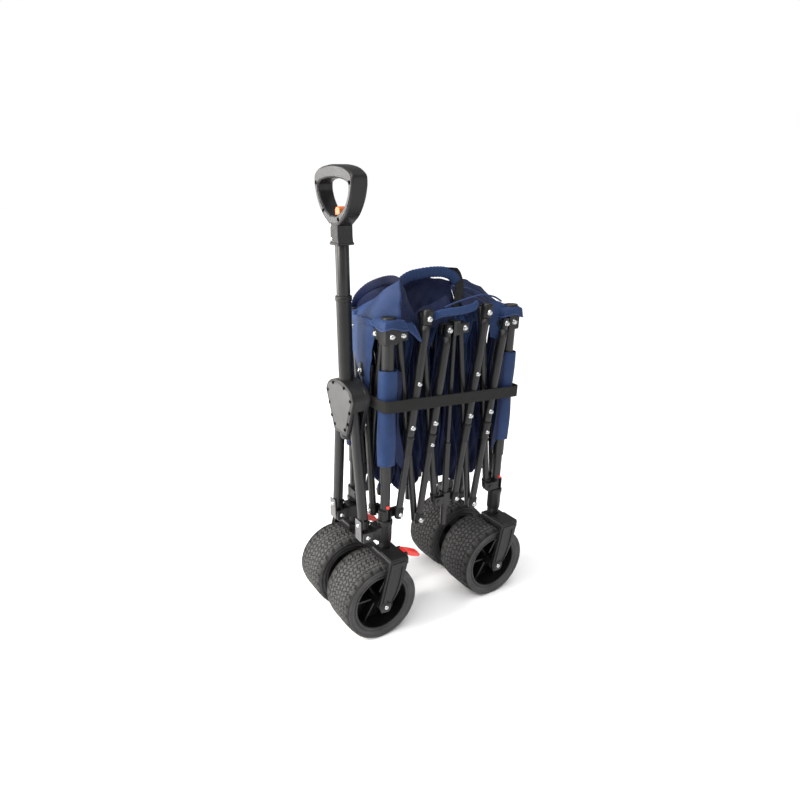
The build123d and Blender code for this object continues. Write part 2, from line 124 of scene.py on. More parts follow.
# ---------------------------------------------------------------- materials
class Shader:
    """A Principled material with short helpers for its procedural detail."""

    def __init__(self, name, color, roughness, **sockets):
        self.material = bpy.data.materials.new(name)
        self.material.use_nodes = True
        self.nodes = self.material.node_tree.nodes
        self.links = self.material.node_tree.links
        self.bsdf = self.nodes["Principled BSDF"]
        self.bsdf.inputs["Base Color"].default_value = (*color, 1)
        self.bsdf.inputs["Roughness"].default_value = roughness
        for socket, value in sockets.items():
            self.bsdf.inputs[socket.replace("_", " ")].default_value = value
        coords = self.node("ShaderNodeTexCoord")
        self.coords = coords.outputs["Object"]
        self.normal = None

    def node(self, kind, **values):
        made = self.nodes.new(kind)
        for key, value in values.items():
            setattr(made, key, value)
        return made

    def noise(self, scale, detail=4.0, coords=None):
        made = self.node("ShaderNodeTexNoise")
        made.inputs["Scale"].default_value = scale
        made.inputs["Detail"].default_value = detail
        self.links.new(coords or self.coords, made.inputs["Vector"])
        return made.outputs["Fac"]

    def threads(self, uv, direction, scale, distortion=0.0):
        """Bands of thread along one direction of the cloth, whose UVs are in metres."""
        made = self.node("ShaderNodeTexWave", bands_direction=direction)
        made.inputs["Scale"].default_value = scale
        made.inputs["Distortion"].default_value = distortion
        self.links.new(uv, made.inputs["Vector"])
        return made.outputs["Fac"]

    def math(self, operation, first, second=None, clamp=False):
        made = self.node("ShaderNodeMath", operation=operation, use_clamp=clamp)
        for index, value in enumerate((first, second)):
            if value is None:
                continue
            if isinstance(value, (int, float)):
                made.inputs[index].default_value = value
            else:
                self.links.new(value, made.inputs[index])
        return made.outputs[0]

    def ramp(self, factor, stops):
        made = self.node("ShaderNodeValToRGB")
        elements = made.color_ramp.elements
        elements[0].position, elements[0].color = stops[0][0], (*stops[0][1], 1)
        elements[1].position, elements[1].color = stops[-1][0], (*stops[-1][1], 1)
        for position, color in stops[1:-1]:
            elements.new(position).color = (*color, 1)
        self.links.new(factor, made.inputs["Fac"])
        return made.outputs["Color"]

    def color(self, output):
        self.links.new(output, self.bsdf.inputs["Base Color"])

    def roughness(self, factor, low, high):
        made = self.node("ShaderNodeMapRange")
        made.inputs["To Min"].default_value = low
        made.inputs["To Max"].default_value = high
        self.links.new(factor, made.inputs["Value"])
        self.links.new(made.outputs["Result"], self.bsdf.inputs["Roughness"])

    def round_edges(self, radius):
        made = self.node("ShaderNodeBevel", samples=4)
        made.inputs["Radius"].default_value = radius
        self.normal = made.outputs["Normal"]
        self.links.new(self.normal, self.bsdf.inputs["Normal"])

    def bump(self, height, strength, distance):
        made = self.node("ShaderNodeBump")
        made.inputs["Strength"].default_value = strength
        made.inputs["Distance"].default_value = distance
        self.links.new(height, made.inputs["Height"])
        if self.normal:
            self.links.new(self.normal, made.inputs["Normal"])
        self.normal = made.outputs["Normal"]
        self.links.new(self.normal, self.bsdf.inputs["Normal"])


def powder_coat():
    """Satin black powder coat: fine orange peel and slightly uneven gloss."""
    s = Shader("powder_coat", (0.006, 0.0055, 0.005), 0.34, Specular_IOR_Level=0.42)
    s.color(s.ramp(s.noise(9, 5), [(0.3, (0.004, 0.004, 0.0045)), (0.75, (0.010, 0.010, 0.0105))]))
    s.roughness(s.noise(30, 3), 0.28, 0.46)
    s.round_edges(0.0012)
    s.bump(s.noise(900, 2), 0.12, 0.0004)
    return s.material


def moulded_black(name="moulded_black", level=0.006, rough=(0.34, 0.5), specular=0.3):
    """Moulded black plastic: spark-eroded grain, dull scuffs and softened edges."""
    s = Shader(name, (level,) * 3, 0.45, Specular_IOR_Level=specular)
    dark, light = (level * 0.8,) * 3, (level * 1.7, level * 1.7, level * 1.75)
    s.color(s.ramp(s.noise(14, 6), [(0.35, dark), (0.8, light)]))
    s.roughness(s.noise(60, 4), *rough)
    s.round_edges(0.0016)
    s.bump(s.noise(1600, 2), 0.22, 0.0003)
    return s.material


def tyre_rubber():
    """Dark rubber with painted shade down in the grooves and painted highlights on the block tops, broken up
    by dusty noise.
    """
    s = Shader("tyre_rubber", (0.02, 0.02, 0.02), 0.7, Specular_IOR_Level=0.25)
    split = s.node("ShaderNodeSeparateXYZ")
    s.links.new(s.coords, split.inputs[0])
    x, z = split.outputs["X"], split.outputs["Z"]
    # Painted light: the distance from the axle darkens the grooves as painted shade and lightens the block
    # tops as a painted highlight.
    radius = s.math("SQRT", s.math("ADD", s.math("MULTIPLY", x, x), s.math("MULTIPLY", z, z)))
    height = s.math("MULTIPLY", s.math("SUBTRACT", radius, 0.0965), 300, clamp=True)
    top_highlight_and_dust = s.math("MULTIPLY", height, s.math("ADD", s.noise(45, 5), 0.35))
    groove, side, top = (0.006, 0.006, 0.006), (0.026, 0.026, 0.026), (0.062, 0.062, 0.061)
    s.color(s.ramp(top_highlight_and_dust, [(0.0, groove), (0.45, side), (0.9, top)]))
    s.roughness(s.noise(80, 4), 0.6, 0.85)
    s.bump(s.noise(420, 4), 0.3, 0.0005)
    return s.material


def sidewall_rubber():
    """Plain, paler rubber of the tyre's sides and beads."""
    s = Shader("sidewall_rubber", (0.03, 0.03, 0.03), 0.6, Specular_IOR_Level=0.3)
    s.color(s.ramp(s.noise(22, 6), [(0.3, (0.026, 0.026, 0.0265)), (0.8, (0.052, 0.052, 0.0525))]))
    s.bump(s.noise(500, 4), 0.2, 0.0004)
    return s.material


def zinc():
    """Bright zinc-plated steel with fine turning marks."""
    s = Shader("zinc_plate", (0.5, 0.51, 0.52), 0.24, Metallic=1.0)
    s.color(s.ramp(s.noise(300, 4), [(0.3, (0.36, 0.37, 0.38)), (0.8, (0.6, 0.6, 0.6))]))
    s.roughness(s.noise(700, 3), 0.16, 0.34)
    return s.material


def glossy_plastic(name, dark, light):
    """Shiny coloured plastic with faint mottling."""
    s = Shader(name, light, 0.3, Coat_Weight=0.2)
    s.color(s.ramp(s.noise(60, 4), [(0.2, dark), (0.7, light)]))
    s.roughness(s.noise(120, 3), 0.24, 0.4)
    s.round_edges(0.0012)
    s.bump(s.noise(1200, 2), 0.12, 0.0003)
    return s.material


def woven_navy(name, dark, light, sheen=0.1):
    """Coated navy polyester: fine plain weave, soft creases and faded high spots."""
    s = Shader(name, light, 0.62, Sheen_Weight=sheen, Sheen_Roughness=0.45, Specular_IOR_Level=0.18)
    s.bsdf.inputs["Sheen Tint"].default_value = (0.5, 0.6, 0.95, 1)
    uv = s.node("ShaderNodeUVMap").outputs["UV"]
    weave = s.math("MULTIPLY", *[s.threads(uv, direction, 180, 0.4) for direction in "XY"])
    crease = s.noise(26, 7)
    fade = s.noise(7, 5)
    s.color(s.ramp(s.math("ADD", s.math("MULTIPLY", fade, 0.75), s.math("MULTIPLY", weave, 0.25)),
                   [(0.25, dark), (0.75, light)]))
    s.roughness(crease, 0.5, 0.75)
    s.bump(crease, 0.5, 0.0035)
    s.bump(weave, 0.3, 0.0004)
    return s.material


def ribbed_webbing():
    """Black polypropylene webbing: cross ribs with dull thread tops."""
    s = Shader("black_webbing", (0.008, 0.008, 0.008), 0.75, Specular_IOR_Level=0.2)
    uv = s.node("ShaderNodeUVMap").outputs["UV"]
    ribs, threads = s.threads(uv, "X", 110), s.threads(uv, "Y", 320)
    weave = s.math("ADD", s.math("MULTIPLY", ribs, 0.7), s.math("MULTIPLY", threads, 0.3))
    s.color(s.ramp(weave, [(0.1, (0.002, 0.002, 0.002)), (0.9, (0.026, 0.026, 0.025))]))
    s.bump(weave, 0.8, 0.0008)
    return s.material


POWDER = powder_coat()
BLACK = moulded_black()
SATIN = moulded_black("satin_housing", 0.022, (0.34, 0.46), 0.45)
GREY = moulded_black("grey_moulding", 0.055, (0.3, 0.4), 0.6)
RIM = moulded_black("rim_plastic", 0.005, (0.3, 0.45))
# Near-black with almost no specular: painted shade inside the screw recesses.
RECESS_SHADE = moulded_black("recess_black", 0.001, (0.85, 0.95), 0.05)
RUBBER = tyre_rubber()
SIDEWALL = sidewall_rubber()
ZINC = zinc()
RED = glossy_plastic("red_plastic", (0.55, 0.012, 0.01), (0.8, 0.035, 0.025))
ORANGE = glossy_plastic("orange_plastic", (0.66, 0.11, 0.015), (0.82, 0.17, 0.03))
# The first two cloth tones below are one cloth: a painted shaded copy for pieces out of the light, and a
# painted lit copy for pieces facing the lamps.
NAVY_SHADED = woven_navy("navy_polyester", (0.0022, 0.0042, 0.020), (0.008, 0.015, 0.056), 0.06)
NAVY_LIT = woven_navy("navy_polyester_lit", (0.008, 0.020, 0.064), (0.021, 0.048, 0.135), 0.1)
NAVY_EDGE = woven_navy("navy_binding", (0.014, 0.026, 0.08), (0.04, 0.07, 0.18), 0.1)
WEBBING = ribbed_webbing()


# ---------------------------------------------------------------- mesh helpers
def link(obj):
    bpy.context.scene.collection.objects.link(obj)
    return obj


def mm(points):
    """Points in metres from points in millimetres."""
    return np.array(points, float) * MM


def new_object(name, mesh, materials, body=None, smooth=True):
    """Object for a mesh; with a body it rides on it, so its mesh is already in its place."""
    obj = link(bpy.data.objects.new(name, mesh))
    for material in materials if isinstance(materials, (list, tuple)) else [materials]:
        if material.name not in mesh.materials:
            mesh.materials.append(material)
    if smooth:
        mesh.polygons.foreach_set("use_smooth", [True] * len(mesh.polygons))
    if body:
        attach(obj, body)
    return obj


def grid_mesh(name, points, close_u=False, close_v=False):
    """Quad mesh with UVs in metres from an array of points[u][v]."""
    points = np.asarray(points, float)
    nu, nv = points.shape[:2]
    mesh = bpy.data.meshes.new(name)
    iu = np.arange(nu if close_u else nu - 1)
    iv = np.arange(nv if close_v else nv - 1)
    a, b = np.meshgrid(iu, iv, indexing="ij")
    c, d = (a + 1) % nu, (b + 1) % nv
    faces = np.stack([a * nv + b, c * nv + b, c * nv + d, a * nv + d], -1).reshape(-1, 4)
    mesh.from_pydata(points.reshape(-1, 3).tolist(), [], faces.tolist())
    along = np.vstack([np.zeros((1, nv)), np.cumsum(np.linalg.norm(np.diff(points, axis=0), axis=2), 0)])
    across = np.hstack([np.zeros((nu, 1)), np.cumsum(np.linalg.norm(np.diff(points, axis=1), axis=2), 1)])
    uv = np.stack([along, across], -1).reshape(-1, 2)
    layer = mesh.uv_layers.new(name="UVMap")
    layer.data.foreach_set("uv", uv[faces.reshape(-1)].astype(np.float32).reshape(-1))
    mesh.update()
    return mesh


def build_mesh(name, build):
    """Mesh from a bmesh, which is freed."""
    mesh = bpy.data.meshes.new(name)
    build.to_mesh(mesh)
    build.free()
    return mesh


def fill_ends(mesh):
    """Closes a tube's open ends."""
    build = bmesh.new()
    build.from_mesh(mesh)
    bmesh.ops.holes_fill(build, edges=[e for e in build.edges if e.is_boundary])
    build.to_mesh(mesh)
    build.free()


def place(obj, location, body, turn=(0, 0, 0)):
    """Moves a piece to its place, where it then rides on a body."""
    obj.location = location
    obj.rotation_euler = turn
    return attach(obj, body)


def facing(direction):
    """Turn from +Z to a direction."""
    return Vector((0, 0, 1)).rotation_difference(Vector(direction)).to_euler()


def lathe(name, profile, materials, axis="Z", segments=48):
    """Surface of revolution from (radius, height) pairs in mm about an axis through the object's origin."""
    angles = np.linspace(0, 2 * math.pi, segments, endpoint=False)
    radius, height = mm(profile).T
    ring = [np.outer(radius, np.cos(angles)), np.outer(radius, np.sin(angles)),
            np.outer(height, np.ones(segments))]
    order = {"Z": (0, 1, 2), "Y": (1, 2, 0), "X": (2, 0, 1)}[axis]
    points = np.stack([ring[index] for index in order], -1)
    return new_object(name, grid_mesh(name, points, close_v=True), materials)


def plate(name, outline, low, high, materials, bevel=0.002, segments=3, plane="YZ", body=None):
    """Flat solid with rounded edges from an outline, between two depths along the plane's normal."""
    build = bmesh.new()
    order = {"YZ": (2, 0, 1), "XZ": (0, 2, 1), "XY": (0, 1, 2)}[plane]
    bottom, top = ([build.verts.new([(a, b, depth)[k] for k in order]) for a, b in outline]
                   for depth in (low, high))
    build.faces.new(bottom)
    build.faces.new(top)
    count = len(outline)
    for i in range(count):
        build.faces.new((bottom[i], bottom[(i + 1) % count], top[(i + 1) % count], top[i]))
    bmesh.ops.recalc_face_normals(build, faces=build.faces)
    return add_bevel(new_object(name, build_mesh(name, build), materials, body), bevel, segments)


def add_bevel(obj, width, segments=3, angle=35):
    """Rounds the edges that turn by more than an angle in degrees."""
    modifier = obj.modifiers.new("rounded", "BEVEL")
    modifier.width = width
    modifier.segments = segments
    modifier.limit_method = "ANGLE"
    modifier.angle_limit = math.radians(angle)
    modifier.harden_normals = True
    return obj


def block(name, low, high, materials, body=None, bevel=0.002):
    """Rounded block between two corners."""
    outline = [(low[0], low[1]), (high[0], low[1]), (high[0], high[1]), (low[0], high[1])]
    return plate(name, outline, low[2], high[2], materials, bevel, plane="XY", body=body)


def spline(points, count, closed=False):
    """Catmull-Rom curve through the points, evenly stepped in its own parameter."""
    p = np.asarray(points, float)
    p = np.vstack([p[-1:], p, p[:2]]) if closed else np.vstack([2 * p[0] - p[1], p, 2 * p[-1] - p[-2]])
    spans = len(p) - 3
    t = np.linspace(0, spans, count, endpoint=not closed)
    i = np.minimum(t.astype(int), spans - 1)
    f = (t - i)[:, None]
    a, b, c, d = p[i], p[i + 1], p[i + 2], p[i + 3]
    square, cube = 2 * a - 5 * b + 4 * c - d, 3 * b - a - 3 * c + d
    return 0.5 * (2 * b + (c - a) * f + square * f**2 + cube * f**3)


def tube_along(name, path, radius, materials, segments=16, body=None, caps=True):
    """Round tube that follows a path."""
    path = np.asarray(path, float)
    tangents = np.gradient(path, axis=0)
    tangents /= np.linalg.norm(tangents, axis=1)[:, None]
    up = np.array([0.3, 0.9, 0.2])
    side = np.cross(tangents, up)
    side /= np.linalg.norm(side, axis=1)[:, None]
    other = np.cross(tangents, side)
    angles = np.linspace(0, 2 * math.pi, segments, endpoint=False)
    radii = np.broadcast_to(np.asarray(radius, float), (len(path),))[:, None, None]
    ring = side[:, None] * np.cos(angles)[None, :, None] + other[:, None] * np.sin(angles)[None, :, None]
    mesh = grid_mesh(name, path[:, None] + radii * ring, close_v=True)
    if caps:
        fill_ends(mesh)
    return new_object(name, mesh, materials, body)


def twin(source, name):
    """Copy that shares the source's mesh."""
    obj = link(source.copy())
    obj.name = name
    return obj


# ---------------------------------------------------------------- bolts
def dome_bolt():
    """Head with a domed top on a thin flange, copied for every bolt."""
    profile = [(0, 5.2), (2.2, 5.0), (4.2, 4.2), (5.6, 3.2), (6.0, 2.2), (6.2, 0.8), (7.2, 0.6), (7.2, 0.0)]
    return lathe("bolt_master", profile, ZINC, "Z", 20)


BOLT = dome_bolt()
BOLT_NUMBERS = itertools.count(1)


def loose_bolt(scale):
    """Next bolt head, at its own size but not in its place yet."""
    obj = twin(BOLT, f"bolt_{next(BOLT_NUMBERS):03d}")
    obj.scale = (scale,) * 3
    return obj


def bolt(at, direction, body, scale=1.0):
    """Domed bolt head at a point, facing a direction."""
    return place(loose_bolt(scale), at, body, facing(direction))


# ---------------------------------------------------------------- CAD nodes' materials
def paint_nodes():
    plain = {"tyre": RUBBER, "rim": RIM, "fork": BLACK, "slider": BLACK, "knuckle": BLACK, "handle": BLACK,
             "snap": RED, "brake": RED, "release": ORANGE, "liner": NAVY_SHADED}
    for name, node in frame["nodes"].items():
        material = plain.get(name.split("_")[0], POWDER)
        node.data.materials.clear()
        node.data.materials.append(material)


paint_nodes()


# ---------------------------------------------------------------- wheels
WHEEL_R = (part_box("tyre_fl")[1].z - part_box("tyre_fl")[0].z) / 2
TYRE_HALF = (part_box("tyre_fl")[1].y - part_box("tyre_fl")[0].y) / 2
TREAD_PITCHES = 46
TREAD_DEPTH = 2.4 * MM
ROW = 11.5 * MM


def triangle(value):
    """Zigzag between -1 and 1 with a period of one."""
    return 4 * np.abs(value - np.floor(value + 0.5)) - 1


def tread_height(turn, across):
    """How far the tread stands out: staggered slanted blocks with chunkier shoulder lugs."""
    pitch = turn * TREAD_PITCHES
    slant = 0.42 * triangle(across / (4 * ROW))
    row = np.floor(across / ROW + 0.22 * triangle(pitch))
    cross = np.abs((pitch + slant + 0.5 * (row % 2)) % 1 - 0.5)
    ring = np.abs((across / ROW + 0.22 * triangle(pitch)) % 1 - 0.5)
    blocks = np.clip((0.5 - cross - 0.09) * 14, 0, 1) * np.clip((0.5 - ring - 0.07) * 12, 0, 1)
    lug = np.clip((0.5 - np.abs((pitch / 2 + 0.25) % 1 - 0.5) - 0.1) * 12, 0, 1)
    shoulder = np.abs(across) > TYRE_HALF - 14 * MM
    return np.where(shoulder, lug, blocks)


def tyre_mesh():
    """Tread and both sidewalls round the Y axis, down to the beads."""
    turns = np.linspace(0, 1, 620, endpoint=False)
    across = np.linspace(-TYRE_HALF + 6 * MM, TYRE_HALF - 6 * MM, 92)
    t, a = np.meshgrid(turns, across, indexing="ij")
    crown = WHEEL_R - 5 * MM * np.abs(a / TYRE_HALF) ** 5
    radius = crown - TREAD_DEPTH * (1 - tread_height(t, a))
    side = [(-3.5, 57), (-9, 56.6), (-10, 55.4), (-14, 55.2), (-15, 56.4), (-19, 55.8), (-21, 54.0),
            (-24, 51.5)]
    for sign in (1, -1):
        rows = mm(side[::sign])
        r = np.broadcast_to(WHEEL_R + rows[:, 0], (len(turns), len(rows)))
        y = np.broadcast_to(sign * rows[:, 1], (len(turns), len(rows)))
        radius = np.hstack([radius, r] if sign > 0 else [r, radius])
        a = np.hstack([a, y] if sign > 0 else [y, a])
    angle = 2 * math.pi * np.broadcast_to(turns[:, None], a.shape)
    points = np.stack([radius * np.cos(angle), a, radius * np.sin(angle)], -1)
    return grid_mesh("tyre_tread", points, close_u=True)


def wheels():
    """One shared tyre for the four wheels, and a bead ring on each side of each rim."""
    mesh = tyre_mesh()
    mesh.materials.append(RUBBER)
    mesh.materials.append(SIDEWALL)
    radii = [math.hypot(p.center.x, p.center.z) for p in mesh.polygons]
    for polygon, radius in zip(mesh.polygons, radii):
        if radius < WHEEL_R - 6 * MM:
            polygon.material_index = 1
    bead = [(71.6, 44), (71.6, 52.5), (72.6, 54), (75, 54), (76.4, 52.5), (76.4, 50)]
    ring = lathe("rim_bead_master", bead, SIDEWALL, "Y", 96)
    for corner in ("fl", "fr", "rl", "rr"):
        low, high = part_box(f"tyre_{corner}")
        centre = (low + high) / 2
        tyre = place(new_object(f"tread_{corner}", mesh, RUBBER), centre, f"wheel_{corner}")
        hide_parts(f"tyre_{corner}")
        for side, turn in (("out", 0), ("in", math.pi)):
            place(twin(ring, f"rim_bead_{corner}_{side}"), centre, f"wheel_{corner}", (0, 0, turn))
    bpy.data.objects.remove(ring)


wheels()


# ---------------------------------------------------------------- frame lines
def joint_at(name):
    return np.array(JOINTS[name]["pos_m"], float)


FRONT_X = joint_at("caster_fl")[0]
REAR_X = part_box("snap_button_rl")[0].x + 0.004
POST_Y = joint_at("caster_fl")[1]
MID_X = (FRONT_X + REAR_X) / 2


class Bay:
    """One pair of crossings: its bodies and where each bar's middle line runs."""

    def __init__(self, name, start_body, end_body, outward):
        self.name = name
        self.start_body = start_body
        self.end_body = end_body
        self.outward = outward
        self.is_long = bool(outward[1])
        self.post_x = FRONT_X if outward[0] > 0 else REAR_X
        axis = 0 if self.is_long else 1
        first = "frame_fold" if name == "left_front" else f"{name}_a_top"
        self.first = joint_at(first)[axis]
        self.node = joint_at(f"{name}_node_top")[axis]
        self.node_top = joint_at(f"{name}_node_top")[2]
        self.last = 2 * self.node - self.first
        self.slope = (self.first - joint_at(f"{name}_cross_1")[axis]) / (TOP_Z - CROSS_Z)

    def point(self, u, w, z):
        """Point at u along the bay, w outboard on the scale of the bar layers, and a height."""
        if self.is_long:
            return np.array([u, self.outward[1] * w, z])
        return np.array([self.post_x + self.outward[0] * (w - POST_Y), u, z])

    def along(self, letter, z):
        """Place along the bay of a bar's middle line at a height."""
        top = self.first if letter == "a" else self.last
        if letter in "ac":
            return top + math.copysign(1, self.node - top) * self.slope * (TOP_Z - z)
        foot = self.first if letter == "b" else self.last
        return foot + math.copysign(1, self.node - foot) * self.slope * (z - SLIDER_Z)

    def body(self, letter):
        return {"start": self.start_body, "end": self.end_body}.get(letter, f"bar_{self.name}_{letter}")

    def layer(self, letter):
        return LAYER_OUT if letter in "bc" else LAYER_IN


BAYS = [
    Bay("left_front", "post_fl", "mid_top_l", (0, 1, 0)),
    Bay("left_rear", "mid_top_l", "post_rl", (0, 1, 0)),
    Bay("right_front", "post_fr", "mid_top_r", (0, -1, 0)),
    Bay("right_rear", "mid_top_r", "post_rr", (0, -1, 0)),
    Bay("front", "post_fl", "post_fr", (1, 0, 0)),
    Bay("rear", "post_rl", "post_rr", (-1, 0, 0)),
]
# Each corner's post: its x, its side of the cart, and which way along X leads inwards
CORNERS = {"fl": (FRONT_X, 1, -1), "fr": (FRONT_X, -1, -1), "rl": (REAR_X, 1, 1), "rr": (REAR_X, -1, 1)}


def bar_point(bay, letter, z, offset=0.0):
    """Point on a bar's middle line at a height, or outboard of it."""
    return Vector(bay.point(bay.along(letter, z), bay.layer(letter) + offset, z))


# ---------------------------------------------------------------- bar fittings
def sleeve_master():
    """Moulded joint sleeve on a bar, with a lip at its upper end."""
    profile = [(8.4, -24), (10.4, -23.5), (10.9, -22), (11.1, 14), (11.9, 15), (12.4, 17), (12.3, 21),
               (11.6, 22), (8.4, 22.4)]
    return lathe("sleeve_master", profile, BLACK, "Z", 28)


def cap_master():
    """Plastic end cap pushed over a bar."""
    profile = [(8.4, -20), (12.2, -19.5), (12.8, -18), (13.2, 9), (12.6, 12.6), (10.6, 14.2), (7, 14.6),
               (6.4, 13.4), (0, 13.2)]
    return lathe("cap_master", profile, BLACK, "Z", 28)


def foot_master():
    """Rounded plastic foot on a bar's lower end."""
    profile = [(0, -11.4), (5.4, -11), (9.2, -8.6), (10.9, -4.4), (11.2, 0), (11.2, 15), (10.6, 16.4),
               (8.4, 16.8)]
    return lathe("foot_master", profile, BLACK, "Z", 28)


def place_on_bar(master, name, bay, letter, z):
    """Copy of a fitting on a bar at a height, in line with the bar."""
    at = bar_point(bay, letter, z)
    along = (bar_point(bay, letter, z + 0.05) - at).normalized()
    place(twin(master, f"{name}_{bay.name}_{letter}"), at, bay.body(letter), facing(along))


def upper_tube(bay, letter, low, high):
    """Wider upper half of an outer bar, which the lower half telescopes into."""
    ends = [bar_point(bay, letter, z) for z in (low, high)]
    path = [ends[0].lerp(ends[1], k / 12) for k in range(13)]
    tube_along(f"upper_{bay.name}_{letter}", path, UPPER_R, POWDER, 28, bay.body(letter))


def bar_bolt(bay, letter, z, offset, scale=1.0):
    """Bolt head on a bar's outer face, at a distance from its middle line."""
    bolt(bar_point(bay, letter, z, offset), bay.outward, bay.body(letter), scale)


def bar_fittings():
    """Sleeves and upper tubes on the sides' outer bars, and the caps, feet and bolts of every bay."""
    sleeve, cap, foot = sleeve_master(), cap_master(), foot_master()
    for bay in BAYS:
        if bay.is_long:
            place_on_bar(sleeve, "sleeve", bay, "b", SLEEVE_B_Z)
            place_on_bar(sleeve, "sleeve", bay, "c", SLEEVE_C_Z)
            bar_bolt(bay, "c", SLEEVE_C_Z - 0.004, 0.0101, 0.8)
            bar_bolt(bay, "b", 0.641, 0.0096, 0.85)
            upper_tube(bay, "b", UPPER_FOOT_Z, bay.node_top - 0.008)
            upper_tube(bay, "c", UPPER_FOOT_Z, TOP_Z - 0.016)
        place_on_bar(cap, "cap", bay, "b", bay.node_top + 0.006)
        bar_bolt(bay, "b", bay.node_top, 0.0125)
        for letter in "bc":
            bar_bolt(bay, letter, CROSS_Z, 0.0083 + 0.001 * bay.is_long)
        low = NODE_LOW_Z if bay.is_long else 2 * CROSS_Z - bay.node_top
        bar_bolt(bay, "c", low, 0.0112)
        place_on_bar(foot, "foot", bay, "c", low)
        for letter in "bd":
            place_on_bar(foot, "foot", bay, letter, SLIDER_Z)
            bar_bolt(bay, letter, SLIDER_Z, 0.0112, 0.9)
    for source in (sleeve, cap, foot):
        bpy.data.objects.remove(source)


# ---------------------------------------------------------------- corner brackets
def bracket_outline(pin_u, post_u, low, high):
    """Bracket cheek with a rounded nose round its pin."""
    away = math.copysign(1, pin_u - post_u)
    radius = (high - low) / 2
    middle = (high + low) / 2
    turns = np.linspace(0, math.pi, 9)
    nose = [(pin_u + away * radius * math.sin(a), middle - radius * math.cos(a)) for a in turns]
    return [(post_u, low)] + nose + [(post_u, high)]


def cheek(name, bay, pin_u, post_u, z, span, body):
    """Moulded cheek over a bracket arm, with its bolt."""
    outline = bracket_outline(pin_u, post_u, z - CHEEK_HALF, z + CHEEK_HALF)
    axis, plane = (1, "XZ") if bay.is_long else (0, "YZ")
    depths = sorted(bay.point(0, value, 0)[axis] for value in span)
    plate(name, outline, *depths, BLACK, 0.0025, plane=plane, body=body)
    head = LAYER_OUT + 0.0085 if span[1] < LAYER_OUT else span[1] - 0.0005
    bolt(Vector(bay.point(pin_u, head, z)), bay.outward, body)


def bracket_span(is_outer):
    """Depth of a cheek: outboard of an inner bar, or inboard of an outer bar."""
    return (0.0700, 0.0815) if is_outer else (0.0815, 0.0930)


def brackets():
    """A cheek and a bolt at each end of every bay."""
    for bay in BAYS:
        ends = (("a", bay.first, bay.start_body), ("c", bay.last, bay.end_body))
        for letter, pin_u, body in ends:
            post_u = pin_u + math.copysign(0.026, pin_u - bay.node)
            span = bracket_span(letter in "bc")
            cheek(f"bracket_{bay.name}_{letter}", bay, pin_u, post_u, TOP_Z, span, body)


def post_fittings():
    """Moulded head, foot socket and ribbed plug on each post."""
    socket = [(14.5, 241), (17.0, 241.4), (17.6, 243), (17.9, 284), (18.9, 287), (19.4, 291), (19.4, 297.5),
              (18.6, 299.4), (16.4, 300), (12.3, 299)]
    plug = [(6, 0), (9.5, 0.3), (10, 3), (15.4, 4.5), (16, 6), (16, 13.5), (15.4, 15.6), (14, 16),
            (12.8, 15.2), (12, 9), (7, 8.4), (5, 13), (0, 13.6)]
    for corner, (x, sign, _) in CORNERS.items():
        y, post = sign * POST_Y, f"post_{corner}"
        outline = [(x - HEAD_HALF, y - HEAD_HALF), (x + HEAD_HALF, y - HEAD_HALF),
                   (x + HEAD_HALF, y + HEAD_HALF), (x - HEAD_HALF, y + HEAD_HALF)]
        plate(f"post_head_{corner}", outline, 0.7375, 0.7775, BLACK, 0.0045, 4, "XY", post)
        bolt((x, sign * (POST_Y + HEAD_HALF), TOP_Z), (0, sign, 0), post)
        place(lathe(f"post_socket_{corner}", socket, BLACK, "Z", 48), (x, y, 0), post)
        place(lathe(f"post_plug_{corner}", plug, BLACK, "Z", 40), (x, y, 0.782), post)
        for index in range(6):
            turn = index * math.pi / 3
            at = (x + 0.0085 * math.cos(turn), y + 0.0085 * math.sin(turn), 0.7955)
            name = f"plug_rib_{corner}_{index}"
            rib = block(name, (-0.0035, -0.0009, -0.004), (0.0035, 0.0009, 0.0), BLACK, bevel=0.0004)
            place(rib, at, post, (0, 0, turn))


# ---------------------------------------------------------------- forks and pedals
def towards(points, across, up):
    """Outline drawn in towards its middle by a share across and a share up."""
    points = np.array(points, float)
    return points + (np.mean(points, 0) - points) * (across, up)


